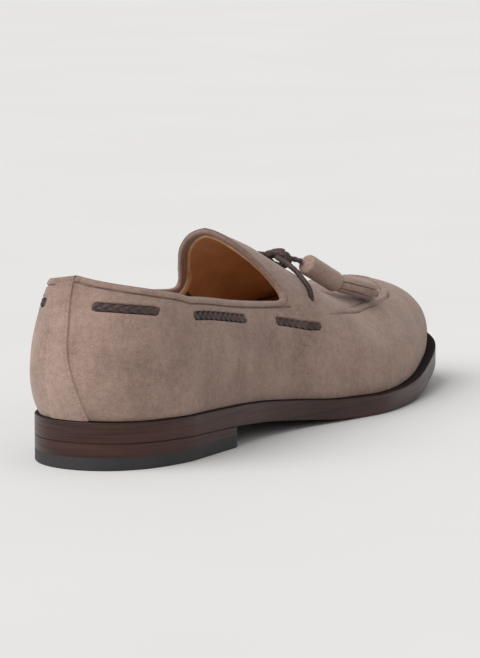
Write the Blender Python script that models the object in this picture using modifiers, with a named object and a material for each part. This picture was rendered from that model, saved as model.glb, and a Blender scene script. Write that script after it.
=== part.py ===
"""A tassel loafer for the right foot: suede upper, welted leather sole, stacked heel, braided lace, tassels.

Metres. X runs from heel to toe, minus Y is the outer side of the foot, plus Y the inner side, and Z is up.
The origin is on the floor below the middle of the length.
"""

import math

import bmesh
import bpy
import numpy as np
from mathutils import Vector

# The main sizes of the shoe.
LENGTH = 0.2965
BALL_WIDTH = 0.1005
INSTEP_HEIGHT = 0.0885
HEEL_HEIGHT = 0.0113
TOE_SPRING = 0.0154
HEEL_LENGTH = 0.0805

# Thicknesses of the layers under the foot.
TOP_PIECE = 0.0053
OUTSOLE = 0.0050
WELT = 0.0036
INSOLE = 0.0030
WELT_REACH = 0.014

# Thicknesses of the leather, and the clearance between pieces that touch.
UPPER_WALL = 0.0021
OVERLAY = 0.0009
GAP = 0.0003
CURVED_GAP = 0.0005
INSOLE_CLEARANCE = 0.0012

# The back strap, the collar's binding and the raised seam round the apron.
STRAP_WIDTH = 0.0105
STRAP_FOOT_WIDTH = 0.0190
STRAP_SHIFT = 0.0045
BINDING_WIDTH = 0.0036
SEAM_WIDTH = 0.0034
SEAM_HEIGHT = 0.0015

# The braided lace, and the tassels on its two ends.
BRAID_WIDTH = 0.0040
BRAID_THICKNESS = 0.0018
LACE_DIAMETER = 0.0023
HEAD_RADIUS = 0.0035
HEAD_END_RADIUS = 0.0046
FRINGE_ROOT_RADIUS = 0.0037
FRINGE_RADIUS = 0.0052
FRINGE_STRIPS = 7
FRINGE_GAP = 0.0011

# Counts of rows and columns in the faceted pieces.
OUTLINE_POINTS = 400
WELT_POINTS = 80
OUTSOLE_ROWS = 48
HEEL_ROWS = 22
INSOLE_ROWS = 36
HEEL_COLUMNS = 8
SIDE_COLUMNS = 8
VAMP_COLUMNS = 8
TOE_COLUMNS = 9
WALL_LEVELS = 6
CROWN_LEVELS = 5
TONGUE_ROWS = 4
BAND_POINTS = 22
SEAM_POINTS = 30
KNOT_POINTS = 26
HEAD_POINTS = 20

# Plan outline of the sole. The station is a share of LENGTH, the half widths are shares of BALL_WIDTH.
OUTLINE = {
    "station": (0.0, 0.012, 0.03, 0.06, 0.10, 0.15, 0.25, 0.35,
                0.45, 0.55, 0.65, 0.75, 0.85, 0.93, 0.98, 1.0),
    "outer": (0.0, 0.14, 0.21, 0.274, 0.318, 0.343, 0.343, 0.338,
              0.368, 0.440, 0.495, 0.467, 0.393, 0.305, 0.166, 0.0),
    "inner": (0.0, 0.14, 0.21, 0.274, 0.313, 0.333, 0.326, 0.302,
              0.300, 0.350, 0.443, 0.503, 0.475, 0.360, 0.200, 0.0),
}

# How far the welt stands out past the upper, in metres, at stations that are shares of LENGTH.
LEDGE = {
    "station": (0.0, 0.25, 0.50, 0.75, 1.0),
    "width": (0.0016, 0.0018, 0.0028, 0.0040, 0.0045),
}

# The underside of the outsole, as shares of HEEL_HEIGHT, up to where the tread touches the floor.
ARCH = {
    "station": (0.0, 0.14, 0.28, 0.36, 0.45, 0.54, 0.62),
    "height": (1.0, 0.90, 0.76, 0.60, 0.34, 0.09, 0.0),
}
TREAD_START = 0.62
TREAD_END = 0.70
SPRING_POWER = 1.65

# Sections of the last. A turn of 0 to 1 goes round the heel, 1 to 2 along the foot and 2 to 3 round the toe.
# The crest is a share of INSTEP_HEIGHT above the floor. The flare, the rise, the shoulder and the crown place
# the two inner handles of the section's curve, as shares of its reach and its height.
LAST = {
    "turn": (0.0, 0.12, 0.6, 1.0, 1.18, 1.36, 1.50, 1.62, 1.80, 2.0, 3.0),
    "crest": (1.366, 1.366, 1.366, 1.366, 1.20, 0.997, 0.885, 0.758, 0.592, 0.562, 0.568),
    "rise": (0.25, 0.25, 0.26, 0.30, 0.36, 0.42, 0.46, 0.48, 0.48, 0.50, 0.54),
    "shoulder": (0.80, 0.80, 0.80, 0.80, 0.86, 0.96, 1.0, 1.0, 1.0, 1.0, 1.0),
    "outer_flare": (0.37, 0.37, 0.36, 0.28, 0.22, 0.16, 0.12, 0.10, 0.08, 0.07, 0.08),
    "inner_flare": (0.37, 0.37, 0.34, 0.30, 0.34, 0.42, 0.40, 0.28, 0.14, 0.07, 0.08),
    "outer_crown": (0.80, 0.80, 0.80, 0.76, 0.68, 0.58, 0.54, 0.54, 0.62, 0.74, 0.84),
    "inner_crown": (0.80, 0.80, 0.64, 0.72, 0.82, 0.88, 0.84, 0.74, 0.72, 0.76, 0.84),
}
HEEL_CENTRE = 0.15
TOE_CENTRE = 0.82

# How far the top of the foot leans to the inner side, as shares of BALL_WIDTH.
RIDGE = {
    "station": (0.0, 0.2, 0.45, 0.7, 1.0),
    "offset": (0.0, 0.0, 0.04, 0.045, 0.03),
}

# The collar's edge above the floor, as shares of INSTEP_HEIGHT, along the same turns, up to the throat.
COLLAR = {
    "turn": (0.0, 0.5, 1.0, 1.2, 1.34, 1.47),
    "outer": (0.896, 0.837, 0.770, 0.700, 0.655, 0.621),
    "inner": (0.896, 0.842, 0.778, 0.712, 0.670, 0.640),
}
THROAT_TURN = 1.47
TOE_SHARE = 0.60

# The tongue's end, from its middle out to the corner of the throat, as shares of its length.
TONGUE_LENGTH = 0.0185
TONGUE = {
    "across": (0.0, 0.25, 0.5, 0.75, 1.0),
    "outer": (1.0, 0.84, 0.55, 0.20, 0.0),
    "inner": (1.0, 0.97, 0.80, 0.40, 0.0),
}

# The apron's raised seam: its share of the way up each section, the same on both sides.
APRON = {
    "turn": (1.47, 1.568, 1.647, 1.73, 1.857, 2.0, 2.2, 2.5, 3.0),
    "share": (0.395, 0.440, 0.492, 0.564, 0.630, 0.672, 0.715, 0.785, 0.849),
}
APRON_START = 1.50
SEAM_END_SIZE = 0.8

# The back strap: where it begins and where its foot stops widening, as shares of the collar's height.
STRAP_START = 0.035
STRAP_FOOT_TOP = 0.62
STRAP_FLARE = 1.6

# The slots in which the lace shows along the collar: the turns at their ends, and their heights above the
# floor there as shares of INSTEP_HEIGHT. The lace's round ends narrow to a share of its width.
SLOTS = {
    "start_turn": (0.139, 1.003, 1.390),
    "end_turn": (0.604, 1.249, 1.557),
    "start_height": (0.764, 0.681, 0.546),
    "end_height": (0.729, 0.597, 0.475),
    "inner_shift": (0.106, 0.0, 0.0),
}
SLOT_STEPS = (0.0, 0.04, 0.12, 0.3, 0.5, 0.7, 0.88, 0.96, 1.0)
BRAID_END_SIZE = 0.45

# The lace's two free ends, from the eyelets through the knot to the tassels: places along the shoe as shares
# of LENGTH, places across it as shares of BALL_WIDTH, and heights above the vamp in metres.
LACE_ROUTE = {
    "along": (0.5363, 0.5396, 0.5464, 0.5585, 0.5716, 0.5830, 0.6020, 0.6085, 0.6115, 0.6122),
    "outer": (-0.2637, -0.2239, -0.1791, -0.1144, -0.0570, -0.0300, -0.0290, -0.0430, -0.0790, -0.1070),
    "inner": (0.2720, 0.2380, 0.1980, 0.1350, 0.0540, 0.0060, 0.0060, 0.0300, 0.0940, 0.1450),
    "lift": (0.0027, 0.0030, 0.0030, 0.0030, 0.0036, 0.0046, 0.0067, 0.0076, 0.0081, 0.0084),
}
TASSEL_ROUTE = {
    "along": (0.6142, 0.6740, 0.7500),
    "outer": (-0.1234, -0.1800, -0.2300),
    "inner": (0.1620, 0.2300, 0.2800),
    "lift": (0.0085, 0.0072, 0.0056),
}
KNOT_PLACE = (0.5943, -0.0120, 0.0061)
KNOT_HALF_WIDTH = 0.0052
KNOT_HALF_HEIGHT = 0.0031
KNOT_TURNS = 1.25
KNOT_START = 0.15
KNOT_PITCH = 0.0028
VAMP_LOWEST = 0.4

# The tassel's rolled head along its length, as shares of its length and of its radius there, and its fringe:
# how deep the gaps between its strips are at the root and at the tip, and how much its tip is flattened.
HEAD_PROFILE = ((0.0, 0.75), (0.05, 1.0), (0.95, 1.0), (1.0, 0.85))
FRINGE_STEPS = (0.0, 0.3, 0.65, 1.0)
STRIP_POINTS = 4
GROOVE_AT_ROOT = 0.12
GROOVE_AT_TIP = 0.45
TIP_FLATTENING = 0.25

SOLE_BROWN = (0.06, 0.035, 0.03)
RUBBER_BLACK = (0.035, 0.032, 0.032)
SUEDE = (0.22, 0.165, 0.135)
LINING = (0.35, 0.19, 0.10)
LACE_BROWN = (0.05, 0.035, 0.032)


def smooth(table, column, at):
    """Reads a column of a table between its rows, along a curve that never overshoots them."""
    x = np.asarray(next(iter(table.values())), float)
    y = np.asarray(table[column], float)
    step = np.diff(x)
    rise = np.diff(y) / step
    slope = np.zeros_like(y)
    same = rise[:-1] * rise[1:] > 0
    before = 2 * step[1:] + step[:-1]
    after = step[1:] + 2 * step[:-1]
    safe = np.where(same, rise[:-1], 1.0), np.where(same, rise[1:], 1.0)
    slope[1:-1] = np.where(same, (before + after) / (before / safe[0] + after / safe[1]), 0.0)
    slope[0], slope[-1] = rise[0], rise[-1]
    at = np.clip(at, x[0], x[-1])
    i = np.clip(np.searchsorted(x, at) - 1, 0, len(step) - 1)
    t = (at - x[i]) / step[i]
    return (
        y[i] * (1 + 2 * t) * (1 - t) ** 2
        + slope[i] * step[i] * t * (1 - t) ** 2
        + y[i + 1] * t**2 * (3 - 2 * t)
        + slope[i + 1] * step[i] * t**2 * (t - 1)
    )


ROUND_OUTLINE = {
    "angle": tuple(math.acos(1 - 2 * share) for share in OUTLINE["station"]),
    "outer": OUTLINE["outer"],
    "inner": OUTLINE["inner"],
}


def half_width(x, side):
    """The sole's half width on one side at a distance from the heel's back, round at both ends."""
    angle = np.arccos(np.clip(1 - 2 * np.asarray(x) / LENGTH, -1, 1))
    return BALL_WIDTH * smooth(ROUND_OUTLINE, side, angle)


def tread(x):
    """The height of the outsole's underside above the floor."""
    share = np.asarray(x) / LENGTH
    arch = HEEL_HEIGHT * smooth(ARCH, "height", np.minimum(share, TREAD_START))
    toe = np.clip((share - TREAD_END) / (1 - TREAD_END), 0, None)
    return arch + TOE_SPRING * toe**SPRING_POWER


def seat(x):
    """The height of the welt's upper face, where the upper begins."""
    return tread(x) + OUTSOLE + GAP + WELT


def sole_outline(inset=0.0, ledge=0.0):
    """The closed plan outline of the sole, from the heel's back round the outer side, moved in."""
    angle = np.linspace(0, math.pi, OUTLINE_POINTS // 2 + 1)
    x = LENGTH * (1 - np.cos(angle)) / 2
    outer = np.stack([x, -half_width(x, "outer")], 1)
    inner = np.stack([x, half_width(x, "inner")], 1)[::-1]
    loop = np.concatenate([outer, inner[1:-1]])
    along = np.roll(loop, -1, 0) - np.roll(loop, 1, 0)
    along /= np.linalg.norm(along, axis=1)[:, None]
    inward = np.stack([-along[:, 1], along[:, 0]], 1)
    distance = inset + ledge * smooth(LEDGE, "width", loop[:, 0] / LENGTH)
    return loop + inward * np.reshape(distance, (-1, 1))


FEATHER = sole_outline(ledge=1.0)


def reach(centre, direction, outline=FEATHER):
    """The distance from a point inside the outline to the outline, along a direction in plan."""
    start = outline
    edge = np.roll(outline, -1, 0) - start
    to_start = start - centre
    cross = direction[0] * edge[:, 1] - direction[1] * edge[:, 0]
    cross = np.where(np.abs(cross) < 1e-12, 1e-12, cross)
    along = (to_start[:, 0] * edge[:, 1] - to_start[:, 1] * edge[:, 0]) / cross
    share = (to_start[:, 0] * direction[1] - to_start[:, 1] * direction[0]) / cross
    hit = (share >= -1e-6) & (share <= 1 + 1e-6) & (along > 0)
    return along[hit].min()


def ridge(x):
    """How far the top of the foot leans to the inner side."""
    return BALL_WIDTH * smooth(RIDGE, "offset", np.asarray(x) / LENGTH)


def section_line(turn, side):
    """The centre of a section in plan, and the direction in which it runs out to the feather edge."""
    sign = -1.0 if side == "outer" else 1.0
    if turn < 1:
        angle = turn * math.pi / 2
        return np.array([HEEL_CENTRE * LENGTH, 0.0]), np.array([-math.cos(angle), sign * math.sin(angle)])
    if turn < 2:
        x = LENGTH * (HEEL_CENTRE + (turn - 1) * (TOE_CENTRE - HEEL_CENTRE))
        return np.array([x, ridge(x)]), np.array([0.0, sign])
    angle = (turn - 2) * math.pi / 2
    x = LENGTH * TOE_CENTRE
    return np.array([x, ridge(x)]), np.array([math.sin(angle), sign * math.cos(angle)])


def turn_at(x):
    """The turn of the straight section at a share of LENGTH."""
    return 1 + (x - HEEL_CENTRE) / (TOE_CENTRE - HEEL_CENTRE)


class Section:
    """One section of the last, from the feather edge (0) up to the crest (1)."""

    def __init__(self, turn, side):
        self.centre, self.direction = section_line(turn, side)
        self.reach = reach(self.centre, self.direction)
        foot = self.centre + self.direction * self.reach
        self.base = float(seat(foot[0])) + GAP
        self.crest = INSTEP_HEIGHT * float(smooth(LAST, "crest", turn))
        flare = float(smooth(LAST, f"{side}_flare", turn))
        crown = float(smooth(LAST, f"{side}_crown", turn))
        self.out = (self.reach, self.reach * (1 + flare), self.reach * crown, 0.0)
        height = self.crest - self.base
        rise = float(smooth(LAST, "rise", turn))
        shoulder = float(smooth(LAST, "shoulder", turn))
        self.up = (0.0, height * rise, height * shoulder, height)

    def at(self, v):
        w = np.array([(1 - v) ** 3, 3 * (1 - v) ** 2 * v, 3 * (1 - v) * v**2, v**3])
        out = w @ np.array(self.out)
        up = w @ np.array(self.up)
        plan = self.centre + self.direction * out
        return np.array([plan[0], plan[1], self.base + up])

    def share_at(self, height):
        """The share of the section at a height above the floor."""
        v = np.linspace(0, 1, 101)
        z = np.array([self.at(share)[2] for share in v])
        return float(np.interp(height, z, v))


def collar_share(turn, side):
    """The share of a section where the collar's edge crosses it, carried on from the throat to the toe."""
    rear = min(turn, THROAT_TURN)
    edge = Section(rear, side).share_at(INSTEP_HEIGHT * float(smooth(COLLAR, side, rear)))
    return edge + (TOE_SHARE - edge) * (turn - rear) / (3 - THROAT_TURN)


def surface(turn, side, v):
    """A point on the outside of the upper, from its turn and its share of the way up."""
    return Section(turn, side).at(v)


def vamp_height(x, y):
    """The height of the vamp above the floor at a place on it."""
    middle = float(ridge(x))
    section = Section(turn_at(x / LENGTH), "outer" if y < middle else "inner")
    points = np.array([section.at(v) for v in np.linspace(1.0, VAMP_LOWEST, 60)])
    return float(np.interp(abs(y - middle), np.abs(points[:, 1] - middle), points[:, 2]))


def over_vamp(along, across, lift):
    """A point above the vamp, from shares of LENGTH and BALL_WIDTH and a height above it."""
    x = along * LENGTH
    y = across * BALL_WIDTH
    return Vector((x, y, vamp_height(x, y) + lift))


def box_middle():
    """The middle of the shoe's box in plan: from the back strap to the toe, and across the ball."""
    back = min(surface(0.0, "outer", v)[0] for v in np.linspace(0, 1, 101)) - CURVED_GAP - OVERLAY
    outline = sole_outline()
    width = outline[:, 1].min() + outline[:, 1].max()
    return (back + outline[:, 0].max()) / 2, width / 2


MIDDLE_X, MIDDLE_Y = box_middle()


def new_object(name, mesh, colour, roughness, collection):
    material = bpy.data.materials.new(name)
    material.use_nodes = True
    shader = material.node_tree.nodes["Principled BSDF"]
    shader.inputs["Base Color"].default_value = (*colour, 1.0)
    shader.inputs["Roughness"].default_value = roughness
    mesh.materials.append(material)
    item = bpy.data.objects.new(name, mesh)
    collection.objects.link(item)
    return item


def mesh_from(bm, name):
    bmesh.ops.remove_doubles(bm, verts=bm.verts, dist=1e-6)
    bmesh.ops.recalc_face_normals(bm, faces=bm.faces)
    bmesh.ops.translate(bm, verts=bm.verts, vec=(-MIDDLE_X, -MIDDLE_Y, 0.0))
    mesh = bpy.data.meshes.new(name)
    bm.to_mesh(mesh)
    bm.free()
    mesh.shade_smooth()
    mesh.set_sharp_from_angle(angle=math.radians(40))
    return mesh


def loft(rings, closed_rings, capped):
    """Faces between rings of points that all have the same count."""
    bm = bmesh.new()
    rows = [[bm.verts.new(Vector(p)) for p in ring] for ring in rings]
    count = len(rows[0])
    for near, far in zip(rows, rows[1:]):
        for i in range(count):
            j = (i + 1) % count
            bm.faces.new((near[i], near[j], far[j], far[i]))
    if closed_rings:
        for i in range(count):
            j = (i + 1) % count
            bm.faces.new((rows[-1][i], rows[-1][j], rows[0][j], rows[0][i]))
    if capped:
        bm.faces.new(rows[0])
        bm.faces.new(rows[-1])
    return bm


def stations(start, end, count):
    """Distances from the heel's back, closer together at a round end."""
    low = math.acos(1 - 2 * start / LENGTH)
    high = math.acos(1 - 2 * end / LENGTH)
    return [LENGTH * (1 - math.cos(a)) / 2 for a in np.linspace(low, high, count)]


def sole_layer(name, low, high, inset, ledge, start, end, count, colour, roughness, collection):
    """A solid layer between two heights that vary along the foot, as wide as the outline moved in."""
    outline = sole_outline(inset, ledge)
    rings = []
    first = max(start, outline[:, 0].min() + GAP)
    last = min(end, outline[:, 0].max() - GAP)
    for x in stations(first, last, count):
        outer = -reach(np.array([x, 0.0]), np.array([0.0, -1.0]), outline)
        inner = reach(np.array([x, 0.0]), np.array([0.0, 1.0]), outline)
        rings.append([(x, outer, low(x)), (x, outer, high(x)), (x, inner, high(x)), (x, inner, low(x))])
    mesh = mesh_from(loft(rings, False, True), name)
    return new_object(name, mesh, colour, roughness, collection)


def welt(collection):
    """The leather strip under the upper's edge, all the way round."""
    step = OUTLINE_POINTS // WELT_POINTS
    rim = sole_outline()[::step]
    inside = sole_outline(inset=WELT_REACH)[::step]
    rings = []
    for (x, y), (inner_x, inner_y) in zip(rim, inside):
        base = tread(x) + OUTSOLE + GAP
        inner_base = tread(inner_x) + OUTSOLE + GAP
        rings.append([(x, y, base), (x, y, base + WELT),
                      (inner_x, inner_y, inner_base + WELT), (inner_x, inner_y, inner_base)])
    mesh = mesh_from(loft(rings, True, False), "welt")
    new_object("welt", mesh, SOLE_BROWN, 0.45, collection)


def heel(collection):
    """The rubber top piece and the leather lifts between it and the outsole."""
    levels = (0.0, 0.5, 1.0)
    sole_layer("heel_top_piece", lambda x: 0.0, lambda x: TOP_PIECE, 0.0, 0.0,
               0.0, HEEL_LENGTH, HEEL_ROWS, RUBBER_BLACK, 0.6, collection)
    for number, (low, high) in enumerate(zip(levels, levels[1:]), start=1):
        def under(x, share=low):
            return TOP_PIECE + GAP + share * (tread(x) - TOP_PIECE - GAP)

        def over(x, share=high):
            return TOP_PIECE + share * (tread(x) - TOP_PIECE - GAP)

        sole_layer(f"heel_lift_{number}", under, over, 0.0, 0.0,
                   0.0, HEEL_LENGTH, HEEL_ROWS, SOLE_BROWN, 0.4, collection)


def column(turn, side, shares):
    section = Section(turn, side)
    return [section.at(v) for v in shares]


def tongue_row(step):
    """Points across the tongue, from its outer edge over the crest to its inner edge."""
    throat = section_line(THROAT_TURN, "outer")[0][0]
    points = []
    for place in range(-CROWN_LEVELS, CROWN_LEVELS + 1):
        across = abs(place) / CROWN_LEVELS
        side = "outer" if place < 0 else "inner"
        x = throat - step * TONGUE_LENGTH * float(smooth(TONGUE, side, across))
        corner = collar_share(THROAT_TURN, side)
        points.append(surface(turn_at(x / LENGTH), side, 1 - across * (1 - corner)))
    return points


def upper(collection):
    """The suede shell: open at the collar and underneath, with the tongue in one piece with the vamp."""
    bm = bmesh.new()

    def sheet(columns):
        rows = [[bm.verts.new(Vector(p)) for p in column_points] for column_points in columns]
        for near, far in zip(rows, rows[1:]):
            for i in range(len(near) - 1):
                bm.faces.new((near[i], near[i + 1], far[i + 1], far[i]))

    for side in ("outer", "inner"):
        rear = [*np.linspace(0, 1, HEEL_COLUMNS), *np.linspace(1, THROAT_TURN, SIDE_COLUMNS)[1:]]
        front = [*np.linspace(THROAT_TURN, 2, VAMP_COLUMNS), *np.linspace(2, 3, TOE_COLUMNS)[1:]]
        wall = np.linspace(0, 1, WALL_LEVELS + 1)
        sheet([column(turn, side, collar_share(turn, side) * wall) for turn in rear])
        columns = []
        for turn in front:
            edge = collar_share(turn, side)
            low = edge * wall
            high = edge + (1 - edge) * np.linspace(0, 1, CROWN_LEVELS + 1)
            columns.append(column(turn, side, [*low, *high[1:]]))
        sheet(columns)
    sheet([tongue_row(step) for step in np.linspace(0, 1, TONGUE_ROWS + 1)])
    bmesh.ops.remove_doubles(bm, verts=bm.verts, dist=2e-5)
    bmesh.ops.dissolve_degenerate(bm, edges=bm.edges, dist=1e-5)
    mesh = mesh_from(bm, "upper")
    item = new_object("upper", mesh, SUEDE, 0.95, collection)
    thickness = item.modifiers.new("wall", "SOLIDIFY")
    thickness.thickness = UPPER_WALL
    thickness.offset = -1


def outward(turn, side, v):
    """The upper's outward direction at a place on it."""
    small = 1e-3
    along = surface(min(turn + small, 3.0), side, v) - surface(max(turn - small, 0.0), side, v)
    up = surface(turn, side, min(v + small, 1.0)) - surface(turn, side, max(v - small, 0.0))
    normal = np.cross(along, up)
    normal /= np.linalg.norm(normal)
    away = np.array([*Section(turn, side).direction, 0.4])
    return normal if normal @ away > 0 else -normal


def lifted(turn, side, v, lift):
    return surface(turn, side, v) + outward(turn, side, v) * lift


def strip(name, path, profile, ends, colour, roughness, collection):
    """A band along the upper. The profile holds places across it and above the upper."""
    points = [surface(*place) for place in path]
    normals = [outward(*place) for place in path]
    rings = []
    last = len(path) - 1
    for i, (point, normal) in enumerate(zip(points, normals)):
        along = points[min(i + 1, last)] - points[max(i - 1, 0)]
        across = np.cross(normal, along)
        across /= np.linalg.norm(across)
        size = ends if i in (0, last) else 1.0
        rings.append([point + across * a * size + normal * (CURVED_GAP + b * (1 + size) / 2)
                      for a, b in profile])
    mesh = mesh_from(loft(rings, False, True), name)
    return new_object(name, mesh, colour, roughness, collection)


def flat_profile(width, height):
    return [(-width / 2, 0.0), (-width / 2, height * 0.6), (-width / 4, height),
            (width / 4, height), (width / 2, height * 0.6), (width / 2, 0.0)]


def back_strap(collection):
    """The strap over the seam at the heel, wider at its foot."""
    bm = bmesh.new()
    rows = []
    edge = collar_share(0.0, "outer")
    for share in np.linspace(STRAP_START, 1.0, 9):
        flare = max(0.0, 1 - share / STRAP_FOOT_TOP) ** STRAP_FLARE
        width = STRAP_WIDTH + (STRAP_FOOT_WIDTH - STRAP_WIDTH) * flare
        row = []
        for across in np.linspace(-0.5, 0.5, 7):
            place = across * width + STRAP_SHIFT
            side = "outer" if place < 0 else "inner"
            turn = abs(place) / (Section(0.0, side).reach * math.pi / 2)
            row.append(bm.verts.new(Vector(lifted(turn, side, share * edge, CURVED_GAP))))
        rows.append(row)
    for low, high in zip(rows, rows[1:]):
        for i in range(len(low) - 1):
            bm.faces.new((low[i], high[i], high[i + 1], low[i + 1]))
    mesh = mesh_from(bm, "back_strap")
    item = new_object("back_strap", mesh, SUEDE, 0.95, collection)
    thickness = item.modifiers.new("wall", "SOLIDIFY")
    thickness.thickness = OVERLAY
    thickness.offset = 1


def collar_bindings(collection):
    """The folded band along the collar's edge, from the back strap to the throat, on both sides."""
    for side, shift in (("outer", -STRAP_SHIFT), ("inner", STRAP_SHIFT)):
        room = STRAP_WIDTH / 2 + shift + GAP + BINDING_WIDTH / 4
        start = room / (Section(0.0, side).reach * math.pi / 2)
        path = []
        for turn in np.linspace(start, THROAT_TURN - 0.01, BAND_POINTS):
            section = Section(turn, side)
            edge = section.at(collar_share(turn, side))[2]
            path.append((turn, side, section.share_at(edge - BINDING_WIDTH / 2)))
        strip(f"collar_binding_{side}", path, flat_profile(BINDING_WIDTH, OVERLAY),
              1.0, SUEDE, 0.95, collection)


def apron_seam(collection):
    """The raised seam where the apron meets the sides, round the toe."""
    turns = np.linspace(APRON_START, 3, SEAM_POINTS)
    path = [(turn, "outer", float(smooth(APRON, "share", turn))) for turn in turns]
    path += [(turn, "inner", float(smooth(APRON, "share", turn))) for turn in turns[-2::-1]]
    strip("apron_seam", path, flat_profile(SEAM_WIDTH, SEAM_HEIGHT),
          SEAM_END_SIZE, SUEDE, 0.95, collection)


def lace_bars(collection):
    """The braided lace where it shows in its slots along the collar."""
    columns = zip(*SLOTS.values())
    for number, (start, end, low, high, inner_shift) in enumerate(columns, start=1):
        for side, shift in (("outer", 0.0), ("inner", inner_shift)):
            path = []
            for share in SLOT_STEPS:
                turn = start + shift + share * (end - start)
                height = INSTEP_HEIGHT * (low + share * (high - low))
                path.append((turn, side, Section(turn, side).share_at(height)))
            strip(f"lace_bar_{side}_{number}", path, flat_profile(BRAID_WIDTH, BRAID_THICKNESS),
                  BRAID_END_SIZE, LACE_BROWN, 0.5, collection)


def through(route, spacing):
    """Points at an even spacing along a smooth curve through a route."""
    route = [Vector(p) for p in route]
    fine = []
    for i in range(len(route) - 1):
        before = route[max(i - 1, 0)]
        after = route[min(i + 2, len(route) - 1)]
        for t in np.linspace(0, 1, 12, endpoint=False):
            a, b = route[i], route[i + 1]
            fine.append(0.5 * ((2 * a) + (b - before) * t + (2 * before - 5 * a + 4 * b - after) * t**2
                               + (3 * a - before - 3 * b + after) * t**3))
    fine.append(route[-1])
    lengths = [0.0]
    for near, far in zip(fine, fine[1:]):
        lengths.append(lengths[-1] + (far - near).length)
    count = max(4, round(lengths[-1] / spacing) + 1)
    at = np.linspace(0, lengths[-1], count)
    return np.stack([np.interp(at, lengths, [p[axis] for p in fine]) for axis in range(3)], 1)


def cord(name, route, diameter, collection):
    curve = bpy.data.curves.new(name, "CURVE")
    curve.dimensions = "3D"
    curve.bevel_depth = diameter / 2
    curve.bevel_resolution = 2
    curve.use_fill_caps = True
    points = through(route, diameter * 0.9)
    spline = curve.splines.new("POLY")
    spline.points.add(len(points) - 1)
    for place, (x, y, z) in zip(spline.points, points):
        place.co = (x - MIDDLE_X, y - MIDDLE_Y, z, 1.0)
    new_object(name, curve, LACE_BROWN, 0.5, collection)


def route_points(table, side):
    """The points of a route over the vamp on one side of the shoe."""
    rows = zip(table["along"], table[side], table["lift"])
    return [over_vamp(along, across, lift) for along, across, lift in rows]


def laces(collection):
    """The lace's free ends and the wrap of its knot."""
    for side in ("outer", "inner"):
        cord(f"lace_{side}", route_points(LACE_ROUTE, side), LACE_DIAMETER, collection)
    centre = over_vamp(*KNOT_PLACE)
    wrap = []
    for turns in np.linspace(0, KNOT_TURNS, KNOT_POINTS):
        angle = 2 * math.pi * turns + KNOT_START * math.pi
        offset = Vector((KNOT_PITCH * (turns - KNOT_TURNS / 2),
                         KNOT_HALF_WIDTH * math.cos(angle),
                         KNOT_HALF_HEIGHT * math.sin(angle)))
        wrap.append(centre + offset)
    cord("lace_knot", wrap, LACE_DIAMETER, collection)


def aimed(start, end):
    """The turn of a frame whose third axis points from start to end, and the distance."""
    return (end - start).to_track_quat("Z", "Y").to_matrix(), (end - start).length


def tassel_head(side, start, end, collection):
    """The rolled suede head of a tassel."""
    turned, length = aimed(start, end)
    rings = []
    for share, size in HEAD_PROFILE:
        radius = size * (HEAD_RADIUS + (HEAD_END_RADIUS - HEAD_RADIUS) * share)
        ring = []
        for angle in np.linspace(0, 2 * math.pi, HEAD_POINTS, endpoint=False):
            place = Vector((radius * math.cos(angle), radius * math.sin(angle), share * length))
            ring.append(start + turned @ place)
        rings.append(ring)
    mesh = mesh_from(loft(rings, False, True), f"tassel_head_{side}")
    new_object(f"tassel_head_{side}", mesh, SUEDE, 0.95, collection)


def tassel_fringe(side, start, end, collection):
    """The suede strips of a tassel, joined into one solid with gaps between them that deepen to the tip."""
    turned, length = aimed(start, end)
    count = FRINGE_STRIPS * STRIP_POINTS
    rings = []
    for share in FRINGE_STEPS:
        radius = FRINGE_ROOT_RADIUS + (FRINGE_RADIUS - FRINGE_ROOT_RADIUS) * share
        groove = 1 - GROOVE_AT_ROOT - (GROOVE_AT_TIP - GROOVE_AT_ROOT) * share
        flat = 1 - TIP_FLATTENING * share
        ring = []
        for i in range(count):
            angle = 2 * math.pi * i / count
            size = radius * (groove if i % STRIP_POINTS == 0 else 1.0)
            place = Vector((size * math.cos(angle), size * flat * math.sin(angle),
                            FRINGE_GAP + share * (length - FRINGE_GAP)))
            ring.append(start + turned @ place)
        rings.append(ring)
    mesh = mesh_from(loft(rings, False, True), f"tassel_fringe_{side}")
    new_object(f"tassel_fringe_{side}", mesh, SUEDE, 0.95, collection)


def tassels(collection):
    """A rolled head and a fringe on each end of the lace."""
    for side in ("outer", "inner"):
        start, middle, end = route_points(TASSEL_ROUTE, side)
        tassel_head(side, start, middle, collection)
        tassel_fringe(side, middle, end, collection)


def main():
    for item in list(bpy.data.objects):
        bpy.data.objects.remove(item)
    shoe = bpy.data.collections.new("tassel_loafer")
    bpy.context.scene.collection.children.link(shoe)
    sole_layer("outsole", lambda x: float(tread(x)), lambda x: float(tread(x)) + OUTSOLE, 0.0, 0.0,
               0.0, LENGTH, OUTSOLE_ROWS, SOLE_BROWN, 0.4, shoe)
    welt(shoe)
    heel(shoe)
    sole_layer("insole", lambda x: float(seat(x)) + GAP, lambda x: float(seat(x)) + GAP + INSOLE,
               UPPER_WALL + INSOLE_CLEARANCE, 1.0, 0.0, LENGTH, INSOLE_ROWS, LINING, 0.7, shoe)
    upper(shoe)
    back_strap(shoe)
    collar_bindings(shoe)
    apron_seam(shoe)
    lace_bars(shoe)
    laces(shoe)
    tassels(shoe)


main()
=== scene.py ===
"""The looks of a suede tassel loafer for the right foot, on a pale studio floor.

Metres, in the frame of the solids: X from heel to toe, minus Y on the outer side of the foot, Z up. The
upper, sole and trim are worked out from the same sizes and short tables as the solids, only finer.
"""

import math

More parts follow.
